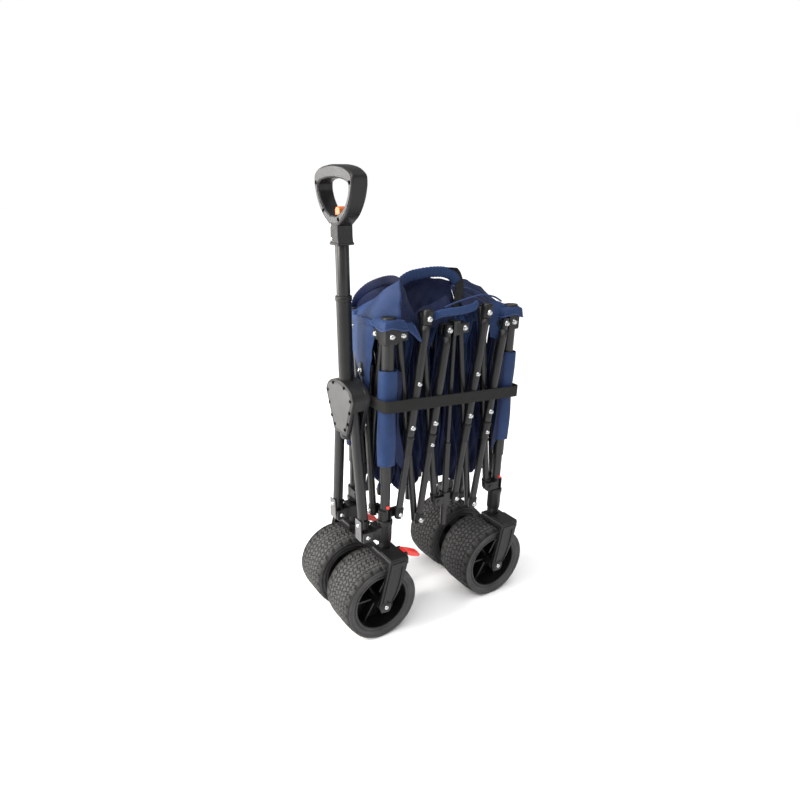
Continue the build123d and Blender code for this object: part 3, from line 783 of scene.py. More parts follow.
def fork_trim(name, post_x, hub_x, sign, body):
    """Raised rim, hub boss and axle bolt of a fork leg, and the crown's moulded cover. Both x are in mm."""
    leg = [(post_x - 24, 218), (post_x + 24, 218), (hub_x + 15, 104), (hub_x + 10, 86), (hub_x - 10, 86),
           (hub_x - 15, 104)]
    for t in (0.2, 0.4, 0.6, 0.8):
        bulge = 8 * math.sin(math.pi * t**0.8)
        leg.append((hub_x - 15 + (post_x - 9 - hub_x) * t - bulge, 104 + 114 * t - 0.25 * bulge))
    path = []
    for (ax, az), (bx, bz) in zip(leg, leg[1:] + leg[:1]):
        steps = max(2, int(math.hypot(bx - ax, bz - az) / 6))
        path += [(ax + (bx - ax) * k / steps, az + (bz - az) * k / steps) for k in range(steps)]
    rail_path = mm([(x, sign * 144.8, z) for x, z in path + path[:1]])
    rail = tube_along(f"{name}_rail", rail_path, 0.0028, BLACK, 10, body, caps=False)
    add_bevel(rail, 0.0002, 1)
    skin = sorted((sign * 0.1362, sign * FORK_FACE))
    plate(f"{name}_skin", mm(leg), *skin, BLACK, 0.003, 4, "XZ", body)
    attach(loop_plane(f"{name}_border", towards(leg, 0.12, 0.05), towards(leg, 0.42, 0.20), sign), body)
    boss = lathe(f"{name}_boss", [(0, 4.2), (10.5, 4.0), (13.5, 3.0), (15, 0.8), (15, -2)], BLACK, "Z", 36)
    place(boss, (hub_x * MM, sign * FORK_FACE, AXLE_Z), body, facing((0, sign, 0)))
    bolt((hub_x * MM, sign * 0.1488, AXLE_Z), (0, sign, 0), body, 0.95)
    low_y, high_y = sorted((sign * 57, sign * 147))
    crown = [(post_x - 27.5, low_y), (post_x + 26.5, low_y), (post_x + 26.5, high_y), (post_x - 27.5, high_y)]
    plate(f"{name}_crown", mm(crown), 0.2045, 0.2232, BLACK, 0.005, 4, "XY", body)
    low_y, high_y = sorted((sign * 0.0955, sign * 0.1465))
    low, high = ((post_x - 25) * MM, low_y, 0.2225), ((post_x + 24) * MM, high_y, 0.2262)
    block(f"{name}_lip", low, high, BLACK, body, 0.0016)


def loop_plane(name, outer, inner, sign):
    """Raised border on the fork leg's outer face, round its recessed middle."""
    rings = [mm(ring)[:, ::-1] for ring in (outer, inner)]
    low, high = sorted((sign * 0.1460, sign * 0.1486))
    border = loop_solid(name, *rings, low, high, BLACK, 0.0010, 3)
    border.data.transform(Matrix(((0, 0, 1, 0), (1, 0, 0, 0), (0, 1, 0, 0), (0, 0, 0, 1))))
    return border


def pedal(side):
    """Wedge-shaped red foot pedal with a ribbed tread, which stands for the CAD one."""
    low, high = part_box(f"brake_pedal_{side}")
    outline = [(114, 216), (104, 219.5), (88, 213), (72, 205), (61, 197), (58, 191), (63, 188), (80, 194),
               (96, 202), (106, 205), (114, 206)]
    body = f"brake_pedal_{side}"
    obj = plate(f"pedal_{side}", mm(outline), low.y + 0.0002, high.y - 0.0002, RED, 0.0026, 4, "XZ", body)
    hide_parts(body)
    for index in range(6):
        corners = (-0.0012, low.y + 0.003, -0.0015), (0.0012, high.y - 0.003, 0.0022)
        rib = block(f"pedal_rib_{side}_{index}", *corners, RED, bevel=0.0008)
        place(rib, (0.066 + index * 0.0052, 0, 0.2002 + index * 0.0026), body, (0, -0.46, 0))


def forks():
    """Trim on the front forks and on the rear ones, which are part of their posts, and both pedals."""
    for corner, (x, sign, _) in CORNERS.items():
        hub_x = JOINTS[f"wheel_spin_{corner}"]["pos_m"][0] / MM
        body = f"fork_{corner}" if corner[0] == "f" else f"post_{corner}"
        fork_trim(f"fork_{corner}_trim", x / MM, hub_x, sign, body)
    for side in SIGNS:
        pedal(side)


# ---------------------------------------------------------------- pull handle
PITCH = joint_at("handle_pitch")
LEAN = math.atan2(JOINTS["handle_extend"]["axis"][0], JOINTS["handle_extend"]["axis"][2])
LEANED = (Matrix.Translation((PITCH[0], 0, PITCH[2])) @ Matrix.Rotation(LEAN, 4, "Y")
          @ Matrix.Translation((-PITCH[0], 0, -PITCH[2])))


def lean(obj, body):
    """Tips a piece that was drawn upright to the handle's lean, where it rides on a body."""
    bpy.context.view_layer.update()
    obj.matrix_world = LEANED @ obj.matrix_world
    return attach(obj, body)


def loop_solid(name, outer, inner, low, high, material, bevel, segments=4):
    """Thick ring between two outlines with the same number of points, drawn in Y and Z."""
    build = bmesh.new()
    loops = [[build.verts.new((x, y, z)) for y, z in outline]
             for x in (low, high) for outline in (outer, inner)]
    count = len(outer)
    for i in range(count):
        j = (i + 1) % count
        for a, b in ((0, 1), (2, 3), (0, 2), (1, 3)):
            build.faces.new((loops[a][i], loops[a][j], loops[b][j], loops[b][i]))
    bmesh.ops.recalc_face_normals(build, faces=build.faces)
    return add_bevel(new_object(name, build_mesh(name, build), material), bevel, segments, 50)


def grip_loop(side, top, crown, waist, foot, count=24):
    """Outline of the D grip: a bowed crown and sides that draw in to the neck."""
    rise = crown - top
    crown_arc = spline([(-side, top), (-side * 0.96, top + rise * 0.42), (-side * 0.76, top + rise * 0.76),
                        (-side * 0.42, top + rise * 0.93), (0, crown), (side * 0.42, top + rise * 0.90),
                        (side * 0.74, top + rise * 0.70), (side * 0.96, top + rise * 0.36),
                        (side, top)], count)
    drop = top - waist
    right = spline([(side, top), (side * 0.985, top - drop * 0.16), (side * 0.87, top - drop * 0.45),
                    (side * 0.60 + foot * 0.1, top - drop * 0.76), (foot, waist)], count)[1:]
    left = right[::-1] * [-1, 1]
    return np.vstack([crown_arc, right, left[:-1]]) * MM


def lean_lathe(name, profile, material, segments, body, at=(0, 0, 0), axis="Z"):
    """Turned part of the handle at a point from its middle line, leaning with it."""
    obj = lathe(name, profile, material, axis, segments)
    obj.location = (PITCH[0] + at[0], at[1], at[2])
    return lean(obj, body)


def handle_screws(name, profile, material, depth, spots, body):
    """Small screws that face forwards, at points across and up in mm."""
    for index, (y, z) in enumerate(spots):
        lean_lathe(f"{name}_{index}", profile, material, 20, body, (depth, y * MM, z * MM), "X")


def grip():
    """Grip, collar and inner tube, which together stand for the CAD handle."""
    x, body = PITCH[0], "pull_handle"
    back, front = x - GRIP_HALF, x + GRIP_HALF
    outer = grip_loop(82, 1073, 1102.5, 984, 18)
    inner = grip_loop(66, 1059, 1077, 1006, 14)
    loop = lean(loop_solid("grip_loop", outer, inner, back, front, BLACK, 0.0052), body)
    panel_outer = grip_loop(79, 1072, 1099.6, 990, 15)
    panel_inner = grip_loop(69.5, 1061, 1080, 1002, 13)
    for index, (low, high) in enumerate(((x + 0.0181, x + 0.0192), (x - 0.0192, x - 0.0181))):
        lean(loop_solid(f"grip_face_{index}", panel_outer, panel_inner, low, high, SATIN, 0.0008, 2), body)
    neck = [(-17.5, 990), (-17.8, 960), (-19.5, 952), (-19.5, 946), (19.5, 946), (19.5, 952), (17.8, 960),
            (17.5, 990)]
    lean(plate("grip_collar", mm(neck), back, front, BLACK, 0.004, 4), body)
    shoe = [(-20, 945), (20, 945), (20, 950.5), (-20, 950.5)]
    lean(plate("grip_collar_shoe", mm(shoe), x - 0.0198, x + 0.0198, BLACK, 0.002, 3), body)
    lean_lathe("inner_tube", [(12.6, 542), (15, 542.6), (15, 944), (14.2, 946)], POWDER, 40, body)
    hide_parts("pull_handle")
    spots = [(-73, 1068), (73, 1068), (-44, 1013), (22, 998)]
    # The screw cups take the painted shade of the recess material.
    handle_screws("grip_screw", SCREW_CUP, RECESS_SHADE, 0.0190, spots, body)
    neck_screw = [(0, 0.3), (1.4, 0.5), (3.0, 1.2), (3.4, 0.6), (3.4, -1)]
    handle_screws("neck_screw", neck_screw, ZINC, 0.0186, [(-13, 985), (-10, 957)], body)


def thumb_button():
    """Rounded orange thumb button that stands for the CAD one."""
    x = PITCH[0]
    outline = [(-10, 1001), (10, 1001), (10, 1016), (7, 1020.5), (0, 1022), (-7, 1020.5), (-10, 1016)]
    button = plate("thumb_button", mm(outline), x - 0.009, x + 0.009, ORANGE, 0.0022, 4)
    lean(button, "release_button")
    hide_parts("release_button")


def shield(inset):
    """Outline of the housing's cover, drawn in by an inset in mm."""
    wide, top, foot = 66 - inset, 648 - inset, 30 - inset
    crown = spline([(-wide, 612), (-wide + 12, 631), (-wide * 0.45, top - 5), (0, top),
                    (wide * 0.45, top - 5), (wide - 12, 631), (wide, 612)], 30)
    return mm(np.vstack([crown, [(foot, 519 + inset), (-foot, 519 + inset)]]))


def housing_trim():
    """Rounded front and back covers of the housing, with recessed screws, and the outer tube's ends."""
    x, body = PITCH[0], "handle_housing"
    for side, low, high in (("front", x + 0.0142, x + 0.0202), ("back", x - 0.0270, x - 0.0142)):
        lean(plate(f"housing_cover_{side}", shield(-1.2), low, high, BLACK, 0.0032, 4), body)
    lean(plate("housing_panel", shield(7), x + 0.0199, x + 0.0209, SATIN, 0.0006, 2), body)
    rows = [(54, 612), (26, 636), (48, 582), (39, 552), (24, 534)]
    spots = [(side * y, z) for y, z in rows for side in (-1, 1)]
    # The screw cups take the painted shade of the recess material.
    handle_screws("housing_screw", SCREW_CUP, RECESS_SHADE, 0.0207, spots, body)
    mouth = [(15.4, 826), (17.2, 826), (18.2, 827), (18.6, 830), (18.6, 836), (17.8, 838), (15.4, 838.4)]
    lean_lathe("tube_mouth", mouth, BLACK, 40, body)
    lean_lathe("tube_foot", [(0, 500), (12, 500.6), (15.5, 503), (17.8, 509), (17.8, 526)], BLACK, 40, body)


def knuckle_trim():
    """Bright bolts and light face plates on the knuckles at the yoke's feet."""
    x, z = PITCH[0], PITCH[2]
    for side, sign in SIGNS.items():
        y, post, knuckle = PITCH[1] * sign, f"post_f{side}", f"knuckle_{side}"
        for reach in (1, -1):
            bolt((x, y + reach * 0.0225, z), (0, reach, 0), post, 0.9)
        for reach in (1, -1):
            head = loose_bolt(0.8)
            head.location = (x + reach * 0.0152, y, z + 0.028)
            head.rotation_euler = facing((reach, 0, 0))
            lean(head, knuckle)
        low_y, high_y = sorted((y - sign * 0.0138, y + sign * 0.0138))
        low, high = (x + 0.0131, low_y, z - 0.012), (x + 0.0155, high_y, z + 0.044)
        lean(block(f"knuckle_face_{side}", low, high, GREY, bevel=0.0022), knuckle)
        for reach, face in ((1, "o"), (-1, "i")):
            low_y, high_y = sorted((y + reach * 0.0198, y + reach * 0.0212))
            low, high = (x - 0.013, low_y, z - 0.0125), (x + 0.0125, high_y, z + 0.0125)
            block(f"knuckle_plate_{side}_{face}", low, high, SATIN, post, 0.0006)


# ---------------------------------------------------------------- cloth
def cloth(name, points, material, body=None, thickness=0.0012, close_u=False):
    """Closed thin sheet from an array of points[u][v], thickened along its normals."""
    points = np.asarray(points, float)
    du = np.gradient(points, axis=0)
    dv = np.gradient(points, axis=1)
    normal = np.cross(du, dv)
    normal /= np.maximum(np.linalg.norm(normal, axis=2), 1e-9)[..., None]
    front, back = points + normal * thickness / 2, points - normal * thickness / 2
    ring = np.concatenate([front, back[:, ::-1]], axis=1)
    mesh = grid_mesh(name, ring, close_u=close_u, close_v=True)
    if not close_u:
        close_sheet(mesh, *points.shape[:2])
    return new_object(name, mesh, material, body)


def close_sheet(mesh, count_u, count_v):
    """Joins a sheet's front and back along its first and last rows."""
    build = bmesh.new()
    build.from_mesh(mesh)
    build.verts.ensure_lookup_table()
    for base in (0, (count_u - 1) * 2 * count_v):
        for k in range(count_v - 1):
            back = base + 2 * count_v - 1 - k
            build.faces.new([build.verts[i] for i in (base + k, base + k + 1, back - 1, back)])
    bmesh.ops.recalc_face_normals(build, faces=build.faces)
    build.to_mesh(mesh)
    build.free()


def declare(obj, points, rests_on):
    """Works out the size a sheet was cut to, taken along its folds, and its area, but does nothing with them.
    """
    points = np.asarray(points, float)
    steps = [np.linalg.norm(np.diff(points, axis=axis), axis=2).sum(axis=axis) for axis in (0, 1)]
    width, length = float(steps[0].max()), float(steps[1].max())
    a = points[1:, :-1] - points[:-1, :-1]
    b = points[:-1, 1:] - points[:-1, :-1]
    c = points[1:, 1:] - points[:-1, 1:]
    d = points[1:, 1:] - points[1:, :-1]
    area = float((np.linalg.norm(np.cross(a, b), axis=2) + np.linalg.norm(np.cross(c, d), axis=2)).sum() / 2)
    area = min(max(area, 0.31 * width * length), width * length)


def wave(s, t, seed, folds):
    """Irregular pleats: a few folds that wander and deepen on the way down."""
    drift = 0.35 * np.sin(2.3 * t + seed * 1.7) + 0.18 * np.sin(5.1 * t + seed * 3.1)
    main = np.sin(2 * math.pi * (folds * s + drift) + seed)
    fine = 0.34 * np.sin(2 * math.pi * (folds * 2.3 * s - drift * 1.6) + seed * 2.2)
    return main + fine


def edge_at(bay, edge, z):
    """Where an edge of a length runs: along a bar, given by its letter, or straight up at a place."""
    return bay.along(edge, z) if isinstance(edge, str) else edge + 0 * z


def curtain(bay, left, right, top, bottom, seed, folds, depth):
    """Points of a pleated length of the wall between two edges, ragged along its lower edge."""
    s, t = np.meshgrid(np.linspace(0, 1, 16 * folds + 1), np.linspace(0, 1, 70), indexing="ij")
    ragged = 0.5 + 0.5 * np.sin(2 * math.pi * (folds * 0.55 * s) + seed * 2.6)
    low = bottom + 0.055 * ragged * (top - bottom) / 0.45
    z = top + (low - top) * t
    u = edge_at(bay, left, z) + (edge_at(bay, right, z) - edge_at(bay, left, z)) * s
    u = u + 0.003 * np.sin(9 * t + seed) * np.sin(math.pi * s)
    pleats = 0.0085 * (0.45 + 0.55 * t) * wave(s, t, seed, folds)
    w = depth + pleats + 0.004 * np.sin(11 * t + 3 * s + seed)
    return np.moveaxis(bay.point(u, w, z), 0, -1)


def wall_panels(bay, seed):
    """The wall of one bay: five pleated lengths, four at the rear, each spanning between two neighbouring
    pieces but attached to neither.
    """
    inwards = math.copysign(1, bay.first - bay.node)
    start_u = bay.first + inwards * (WALL_AT_MID if bay.start_body.startswith("mid") else WALL_AT_POST)
    end_u = bay.last - inwards * (WALL_AT_MID if bay.end_body.startswith("mid") else WALL_AT_POST)
    # The outer lengths take the painted lit copy of the cloth, the rest the painted shaded copy.
    outer, inner = (bay.node_top + 0.004, CROSS_Z + 0.030, 2, NAVY_LIT), TOP_Z + 0.020
    specs = [
        ("start", "a", start_u, "a", inner, WALL_FLOOR + 0.015, 2, NAVY_SHADED),
        ("a", "b", "a", "b", *outer),
        ("b", "d", "b", "d", bay.node_top - 0.030, WALL_FLOOR, 3, NAVY_SHADED),
        ("d", "c", "d", "c", *outer),
        ("c", "end", "c", end_u, inner, WALL_FLOOR + 0.03, 2, NAVY_SHADED),
    ]
    for index, (one, two, left, right, top, bottom, folds, material) in enumerate(specs):
        if bay.name == "rear" and two == "end":
            continue
        points = curtain(bay, left, right, top, bottom, seed + index, folds, WALL_DEPTH - 0.006 * (index % 2))
        obj = cloth(f"wall_{bay.name}_{index}", points, material)
        middle = (top + bottom) / 2
        start, end = (tuple(bay.point(float(edge_at(bay, edge, middle)), 0.05, middle))
                      for edge in (left, right))
        declare(obj, points, [bay.body(one), bay.body(two)])
        bay.body(one)
        bay.body(two)
        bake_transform(obj)


def surface(net, count_u=40, count_v=30):
    """Smooth surface through a small net of points."""
    net = np.asarray(net, float)
    rows = np.stack([spline(row, count_v) for row in net])
    return np.stack([spline(rows[:, k], count_u) for k in range(count_v)], 1)


def crumpled(points, size, seed):
    """Adds small creases to a sheet along its height and depth."""
    x, y, z = points[..., 0], points[..., 1], points[..., 2]
    crease = np.sin(95 * x + 60 * y + seed) * np.sin(120 * z - 40 * x + seed * 2)
    crease = crease + 0.5 * np.sin(210 * (x + z) + 3 * seed)
    moved = points.copy()
    moved[..., 1] += size * crease
    moved[..., 2] += 0.5 * size * np.sin(150 * x + 90 * y + seed)
    return moved


def drape(name, net, material, body, seed=0.0, size=0.0015):
    """Crumpled fold of cloth through a net of points in mm."""
    points = crumpled(surface(mm(net)), size, seed)
    declare(cloth(name, points, material, body), points, [body])


def rounded(angle, power_across, power_up):
    """Cosine and sine of an angle, squared off towards a rounded rectangle by powers under one."""
    a, b = np.cos(angle), np.sin(angle)
    return np.sign(a) * np.abs(a) ** power_across, np.sign(b) * np.abs(b) ** power_up


def band(name, path, height, thickness, material, body, tilt=0.0, pucker=0.048):
    """Padded hem: a flattened tube along a path, puckered by its stitching by a share of its size."""
    count = 90
    centre = spline(mm(path), count)
    tangent = np.gradient(centre, axis=0)
    tangent /= np.linalg.norm(tangent, axis=1)[:, None]
    up = np.array([0, math.sin(tilt), math.cos(tilt)])
    side = np.cross(tangent, up)
    side /= np.linalg.norm(side, axis=1)[:, None]
    rise = np.cross(side, tangent)
    angle = np.linspace(0, 2 * math.pi, 20, endpoint=False)
    step = np.arange(count)[:, None]
    taper = np.clip(np.minimum(step, count - 1 - step) / 3 + 0.25, 0, 1) ** 0.5
    swell = taper * (1 + pucker * np.sin(step * 1.9))
    a, b = rounded(angle, 0.8, 0.7)
    a, b = a * thickness / 2 * swell, b * height / 2 * swell
    ring = centre[:, None] + side[:, None] * a[..., None] + rise[:, None] * b[..., None]
    mesh = grid_mesh(name, ring, close_v=True)
    fill_ends(mesh)
    new_object(name, mesh, material, body)


def piping(name, path, body, radius=0.0014):
    """Piped edge in the binding's colour along a path in mm."""
    tube_along(name, spline(mm(path), 60), radius, NAVY_EDGE, 8, body)


def sleeve(corner, low, high):
    """Fabric sleeve round a post, with its stitched seam allowance."""
    x, sign, inward = CORNERS[corner]
    post = f"post_{corner}"
    s, t = np.meshgrid(np.linspace(0, 1, 60, endpoint=False), np.linspace(0, 1, 40), indexing="ij")
    angle = 2 * math.pi * s
    wobble = 0.0006 * np.sin(3 * angle + 7 * t) + 0.0008 * np.sin(11 * t + 2 * angle)
    across, along = rounded(angle, 0.82, 0.82)
    points = np.stack([x + (0.0208 + wobble) * across, sign * POST_Y + (0.0182 + wobble) * along,
                       low + (high - low) * t + 0.0012 * np.sin(angle * 2)], -1)
    # Left sleeves take the painted lit copy of the cloth and right ones the painted shaded copy; the flap
    # below is in the painted shaded copy.
    obj = cloth(f"sleeve_{corner}", points, NAVY_LIT if sign > 0 else NAVY_SHADED, post, close_u=True)
    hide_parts("liner")
    s, t = np.meshgrid(np.linspace(0, 1, 14), np.linspace(0, 1, 60), indexing="ij")
    flare = 0.006 + 0.013 * t + 0.004 * np.sin(9 * t)
    fx = x + inward * (0.019 + flare * s)
    fy = sign * (POST_Y + 0.012 + 0.004 * np.sin(7 * t + 2 * s) * s)
    points = np.stack([fx, fy, high - 0.004 + (low - high + 0.012 - 0.030 * s) * t], -1)
    declare(cloth(f"sleeve_flap_{corner}", points, NAVY_SHADED, post), points, [post])
    seam = [(x + inward * 0.0195, sign * (POST_Y + 0.0158), z) for z in np.arange(low + 0.006, high, 0.0052)]
    stitches(f"stitch_{corner}", seam, post)


def stitches(name, places, body):
    """A row of small thread stitches as one mesh."""
    build = bmesh.new()
    for x, y, z in places:
        made = bmesh.ops.create_icosphere(build, subdivisions=1, radius=0.0008)
        bmesh.ops.scale(build, vec=(0.9, 0.9, 2.0), verts=made["verts"])
        bmesh.ops.translate(build, vec=(x, y, z), verts=made["verts"])
    new_object(name, build_mesh(name, build), NAVY_EDGE, body)


def corner_flap(corner, seed):
    """Reinforced corner of the liner, hooked over a post's plug, with a piped edge."""
    x, sign, inward = CORNERS[corner]
    post, hole = f"post_{corner}", 0.0180
    s, t = np.meshgrid(np.linspace(0, 1, 73), np.linspace(0, 1, 14), indexing="ij")
    angle = 2 * math.pi * s
    reach_x = np.where(np.cos(angle) * inward > 0, 0.042, 0.0235)
    reach_y = np.where(np.sin(angle) * sign > 0, 0.0225, 0.042)
    square = 1 / np.maximum(np.abs(np.cos(angle)), np.abs(np.sin(angle))) ** 0.75
    ox = reach_x * np.cos(angle) * square
    oy = reach_y * np.sin(angle) * square
    px = hole * np.cos(angle) * (1 - t) + ox * t
    py = hole * np.sin(angle) * (1 - t) + oy * t
    outside = np.clip(t - 0.66, 0, 1) / 0.34
    droop = 0.0150 * outside**1.6 * (1 + 0.25 * np.sin(3 * angle + seed)) + 0.004 * t
    lift = 0.006 * t * np.clip(-np.sin(angle) * sign, 0, 1)
    z = 0.7925 + 0.0012 * np.sin(4 * angle + seed) * t - droop + lift
    points = np.stack([x + px, sign * POST_Y + py, z], -1)
    # The corner flap is in the painted lit copy of the cloth.
    declare(cloth(f"corner_flap_{corner}", points, NAVY_LIT, post), points, [post])
    for name, row, radius in (("piping", -1, 0.0021), ("hole", 0, 0.0012)):
        piping(f"corner_{name}_{corner}", np.vstack([points[::3, row], points[:1, row]]) / MM, post, radius)


def flap_tails():
    """The long side of each front corner, curling down beside the outer bar."""
    for side, sign in SIGNS.items():
        rows = [[(124, 56, 788), (104, 60, 790), (84, 66, 786)],
                [(120, 78, 786), (102, 82, 783), (82, 84, 776)],
                [(112, 92, 778), (98, 94, 771), (78, 94, 760)],
                [(100, 96, 766), (88, 97, 756), (69, 96, 740)]]
        net = [[(x, sign * y, z) for x, y, z in row] for row in rows]
        # The tail is in the painted lit copy of the cloth.
        drape(f"flap_tail_f{side}", net, NAVY_LIT, f"post_f{side}", 2.2, 0.0010)
        edge = [net[1][0], net[2][0], net[3][0], net[3][1], net[3][2], net[2][2], net[1][2]]
        piping(f"tail_piping_f{side}", edge, f"post_f{side}", 0.0020)


def liner_top():
    """The hem and upper walls, bunched above the folded frame."""
    # Folds that face the lamps take the painted lit copy of the cloth, the others the painted shaded copy.
    drape("front_fold", [
        [(96, -66, 778), (92, -20, 792), (88, 20, 806), (88, 52, 808)],
        [(118, -68, 800), (118, -14, 824), (116, 26, 850), (108, 62, 872)],
        [(140, -74, 796), (142, -22, 806), (134, 34, 830), (112, 74, 850)],
        [(156, -78, 776), (158, -24, 786), (150, 30, 796), (116, 82, 812)],
        [(160, -76, 752), (162, -22, 764), (156, 30, 774), (118, 84, 788)],
    ], NAVY_LIT, "post_fl", 1.0, 0.0012)
    drape("front_fold_side", [
        [(108, 62, 872), (100, 58, 862), (88, 52, 848), (80, 46, 832)],
        [(112, 74, 850), (100, 72, 838), (86, 66, 822), (74, 58, 812)],
        [(116, 82, 812), (104, 80, 806), (86, 74, 798), (68, 66, 792)],
        [(118, 86, 782), (102, 84, 778), (84, 78, 774), (62, 70, 768)],
    ], NAVY_SHADED, "post_fl", 2.0)
    drape("front_hem_drop", [
        [(160, -72, 778), (165, -20, 786), (163, 26, 784), (150, 48, 780)],
        [(166, -60, 742), (169, -16, 748), (167, 22, 750), (160, 46, 748)],
        [(166, -40, 700), (169, -10, 702), (167, 18, 704), (162, 38, 706)],
        [(160, -18, 640), (164, 0, 640), (164, 14, 642), (160, 26, 646)],
        [(156, -6, 588), (160, 4, 586), (160, 10, 588), (156, 16, 590)],
    ], NAVY_LIT, "post_fl", 3.0)
    hem = [(160, -74, 772), (167, -30, 780), (168, 10, 781), (160, 44, 777)]
    band("front_hem", hem, 0.015, 0.004, NAVY_LIT, "post_fl")
    drape("dark_fill", [
        [(148, -70, 800), (138, -56, 818), (124, -34, 842), (108, -4, 858), (96, 20, 864)],
        [(138, -60, 788), (130, -44, 798), (118, -26, 812), (104, 0, 826), (92, 20, 836)],
        [(124, -50, 772), (118, -38, 778), (108, -22, 788), (96, 0, 796), (88, 16, 804)],
    ], NAVY_SHADED, "post_fl", 9.0)
    loop = [(150, -70, 792), (142, -58, 822), (128, -36, 846), (112, -4, 862), (100, 24, 868), (92, 44, 862)]
    band("dark_loop", loop, 0.020, 0.005, NAVY_SHADED, "post_fl", 0.3)
    arc = [(92, 30, 838), (74, 10, 856), (44, 2, 869), (10, 0, 874), (-30, 0, 876), (-62, 0, 873),
           (-84, 0, 864), (-98, 2, 846)]
    band("rim_arc", arc, 0.025, 0.010, NAVY_LIT, "post_fl", 0.12, pucker=0.066)
    drape("inner_wall", [
        [(84, 14, 842), (40, -2, 858), (-20, -6, 862), (-84, -4, 852)],
        [(84, 4, 820), (40, -14, 832), (-20, -14, 836), (-90, -6, 826)],
        [(80, 10, 796), (36, -4, 800), (-24, -2, 806), (-92, 4, 798)],
        [(76, 26, 770), (30, 16, 768), (-28, 14, 772), (-90, 18, 770)],
    ], NAVY_SHADED, "post_fl", 4.0, 0.002)
    drape("middle_fold", [
        [(70, 60, 792), (40, 52, 806), (-4, 40, 812), (-44, 30, 824)],
        [(64, 70, 780), (34, 66, 788), (-8, 60, 794), (-48, 52, 800)],
        [(60, 74, 752), (30, 72, 760), (-10, 70, 764), (-50, 66, 768)],
    ], NAVY_SHADED, "post_fl", 5.0, 0.002)
    hem = [(32, 84, 788), (20, 93, 796), (-8, 96, 799), (-44, 96, 800), (-78, 93, 804), (-96, 84, 809)]
    band("mid_hem", hem, 0.018, 0.010, NAVY_LIT, "mid_top_l", -0.1)
    drape("rear_fold", [
        [(-98, -46, 840), (-130, -52, 848), (-170, -50, 842), (-214, -44, 822)],
        [(-96, -24, 832), (-130, -26, 834), (-172, -22, 826), (-216, -14, 808)],
        [(-92, 8, 810), (-128, 8, 818), (-172, 12, 808), (-214, 18, 796)],
        [(-88, 38, 798), (-126, 40, 806), (-170, 42, 800), (-204, 44, 788)],
        [(-86, 58, 776), (-124, 60, 790), (-166, 60, 790), (-196, 56, 776)],
    ], NAVY_SHADED, "post_rl", 6.0, 0.0028)
    edge = [(-22, 58, 802), (-44, 64, 811), (-80, 64, 818), (-124, 64, 824), (-162, 66, 818), (-184, 70, 806)]
    piping("rear_piping", edge, "post_rl", 0.0022)
    edge = [(-104, -20, 836), (-136, 0, 830), (-160, 24, 818), (-176, 44, 806)]
    piping("rear_piping_inner", edge, "post_rl")
    drape("rear_tail", [
        [(-150, 62, 806), (-168, 70, 808), (-184, 78, 802), (-192, 84, 792)],
        [(-150, 68, 770), (-166, 76, 768), (-180, 84, 762), (-190, 88, 754)],
        [(-156, 70, 720), (-166, 76, 716), (-176, 80, 712), (-186, 82, 706)],
    ], NAVY_LIT, "post_rl", 7.0)
    drape("far_fold", [
        [(112, -40, 806), (60, -48, 824), (0, -52, 836), (-80, -50, 838)],
        [(112, -58, 800), (60, -64, 808), (0, -64, 812), (-80, -62, 812)],
        [(112, -68, 778), (60, -72, 782), (0, -72, 784), (-84, -70, 786)],
    ], NAVY_SHADED, "post_fl", 8.0, 0.002)
    path = [(-66, 4, 884), (-86, 2, 880), (-98, 4, 862), (-100, 10, 836), (-92, 18, 806), (-86, 24, 782)]
    strap("pull_loop", path, 0.021, "post_fl")


def strap(name, path, width, body, across=(0.85, -0.52, 0)):
    """Flat webbing along a path, its width across a given direction."""
    centre = spline(mm(path), 60)
    across = np.array(across) / np.linalg.norm(across)
    offsets = np.linspace(-width / 2, width / 2, 7)
    points = centre[:, None] + offsets[None, :, None] * across[None, None]
    declare(cloth(name, points, WEBBING, body, 0.0018), points, [body])


def belt():
    """Webbing belt round the folded cart, in four lengths that meet between the posts."""
    x_front, x_rear, y_side, radius, width = 0.1665, -0.2395, 0.1035, 0.014, 0.028
    for corner, (x, sign, inward) in CORNERS.items():
        edge = x_front if inward < 0 else x_rear
        back = -inward
        turn = np.linspace(0, math.pi / 2, 12)
        cx, cy = edge - back * radius, sign * (y_side - radius)
        bend = [(cx + back * radius * math.sin(a), cy + sign * radius * math.cos(a)) for a in turn]
        run = [(MID_X - back * 0.004 + (cx - MID_X) * k / 30, sign * y_side) for k in range(30)]
        end = [(edge, cy * (1 - k / 14)) for k in range(1, 15)]
        path = np.array(run + bend + end)
        flat = np.linspace(-width / 2, width / 2, 7)
        ripple = 0.0006 * np.sin(np.arange(len(path)) * 0.55)
        y, height = path[:, 1] + sign * ripple, 0.5915 + 0.052 * path[:, 0]
        points = np.stack([np.stack([path[:, 0], y, height + offset], -1) for offset in flat], 1)
        obj = cloth(f"belt_{corner}", points, WEBBING, f"post_{corner}", 0.0022)
        declare(obj, points, [f"post_{corner}"])


bar_fittings()
brackets()
post_fittings()
forks()
grip()
thumb_button()
housing_trim()
knuckle_trim()
for seed, bay in enumerate(BAYS):
    wall_panels(bay, 1.3 * seed + 0.4)
for name, (low, high) in SLEEVES.items():
    sleeve(name, low, high)
    corner_flap(name, 2 + low * 40)
liner_top()
flap_tails()
belt()


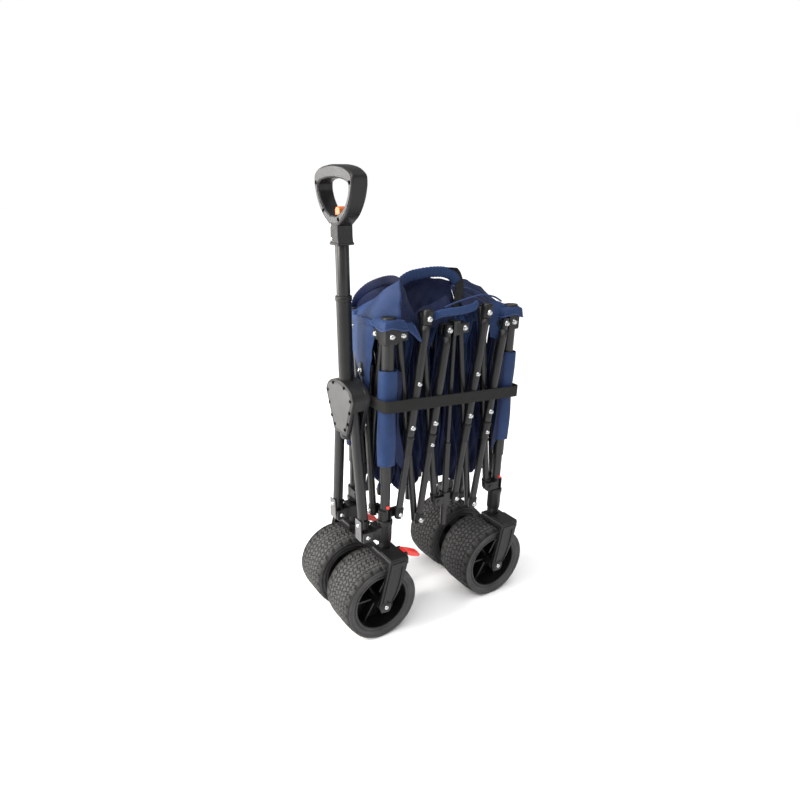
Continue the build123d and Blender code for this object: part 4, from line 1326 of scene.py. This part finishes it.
# ---------------------------------------------------------------- camera, light and floor
def camera():
    """The camera that was fitted to the photo."""
    azimuth, elevation, roll = (math.radians(a) for a in (CAMERA_AZIMUTH, CAMERA_ELEVATION, CAMERA_ROLL))
    back = Vector((math.sin(azimuth) * math.cos(elevation), -math.cos(azimuth) * math.cos(elevation),
                   math.sin(elevation)))
    right = (-back).cross(Vector((0, 0, 1))).normalized()
    up = right.cross(-back)
    turned_right = right * math.cos(roll) + up * math.sin(roll)
    turned_up = up * math.cos(roll) - right * math.sin(roll)
    data = bpy.data.cameras.new("camera")
    data.lens = CAMERA_LENS
    data.sensor_width = 36
    data.shift_x, data.shift_y = CAMERA_SHIFT
    data.clip_start = 0.05
    obj = link(bpy.data.objects.new("camera", data))
    axes = Matrix((turned_right, turned_up, back)).transposed().to_4x4()
    obj.matrix_world = Matrix.Translation(Vector(CAMERA_TARGET) + back * CAMERA_DISTANCE) @ axes
    bpy.context.scene.camera = obj


def area_light(name, at, size, power, aim=(0, 0, 0.45), color=(1, 1, 1)):
    """Soft box aimed at the middle of the cart."""
    data = bpy.data.lights.new(name, "AREA")
    data.shape = "RECTANGLE"
    data.size, data.size_y = size
    data.energy = power
    data.color = color
    obj = link(bpy.data.objects.new(name, data))
    obj.location = at
    obj.rotation_euler = (Vector(aim) - Vector(at)).to_track_quat("-Z", "Y").to_euler()


def studio():
    """White surroundings, dimmer as a light than as a background, a pale floor, a soft sun and softboxes."""
    world = bpy.data.worlds.new("studio")
    bpy.context.scene.world = world
    world.use_nodes = True
    nodes, links = world.node_tree.nodes, world.node_tree.links
    background = nodes["Background"]
    background.inputs["Color"].default_value = (1, 1, 1, 1)
    path = nodes.new("ShaderNodeLightPath")
    level = nodes.new("ShaderNodeMapRange")
    level.inputs["To Min"].default_value = AMBIENT
    level.inputs["To Max"].default_value = 1.0
    links.new(path.outputs["Is Camera Ray"], level.inputs["Value"])
    links.new(level.outputs["Result"], background.inputs["Strength"])
    s = Shader("pale_floor", (0.93, 0.93, 0.93), 0.8, Specular_IOR_Level=0.0)
    s.color(s.ramp(s.noise(3, 2), [(0.2, (0.925, 0.925, 0.925)), (0.8, (0.935, 0.935, 0.935))]))
    half = 30
    mesh = bpy.data.meshes.new("floor")
    corners = [(-half, -half, 0), (half, -half, 0), (half, half, 0), (-half, half, 0)]
    mesh.from_pydata(corners, [], [(0, 1, 2, 3)])
    new_object("floor", mesh, s.material, smooth=False)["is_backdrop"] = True
    sky = bpy.data.lights.new("overhead", "SUN")
    sky.energy = 3.0
    sky.angle = math.radians(75)
    link(bpy.data.objects.new("overhead", sky)).rotation_euler = (math.radians(-14), math.radians(16), 0)
    area_light("key", (2.4, -0.1, 1.7), (0.7, 1.7), 85, color=(1.0, 0.97, 0.93))
    area_light("side", (-1.2, 3.0, 1.2), (0.7, 1.8), 14)
    area_light("rim", (2.0, -1.9, 1.2), (1.3, 2.2), 85, color=(1.0, 0.97, 0.94))
    bpy.context.scene.view_settings.view_transform = "Standard"
    bpy.context.scene.view_settings.exposure = 0.0


camera()
studio()
bpy.data.objects.remove(BOLT)

low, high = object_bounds()
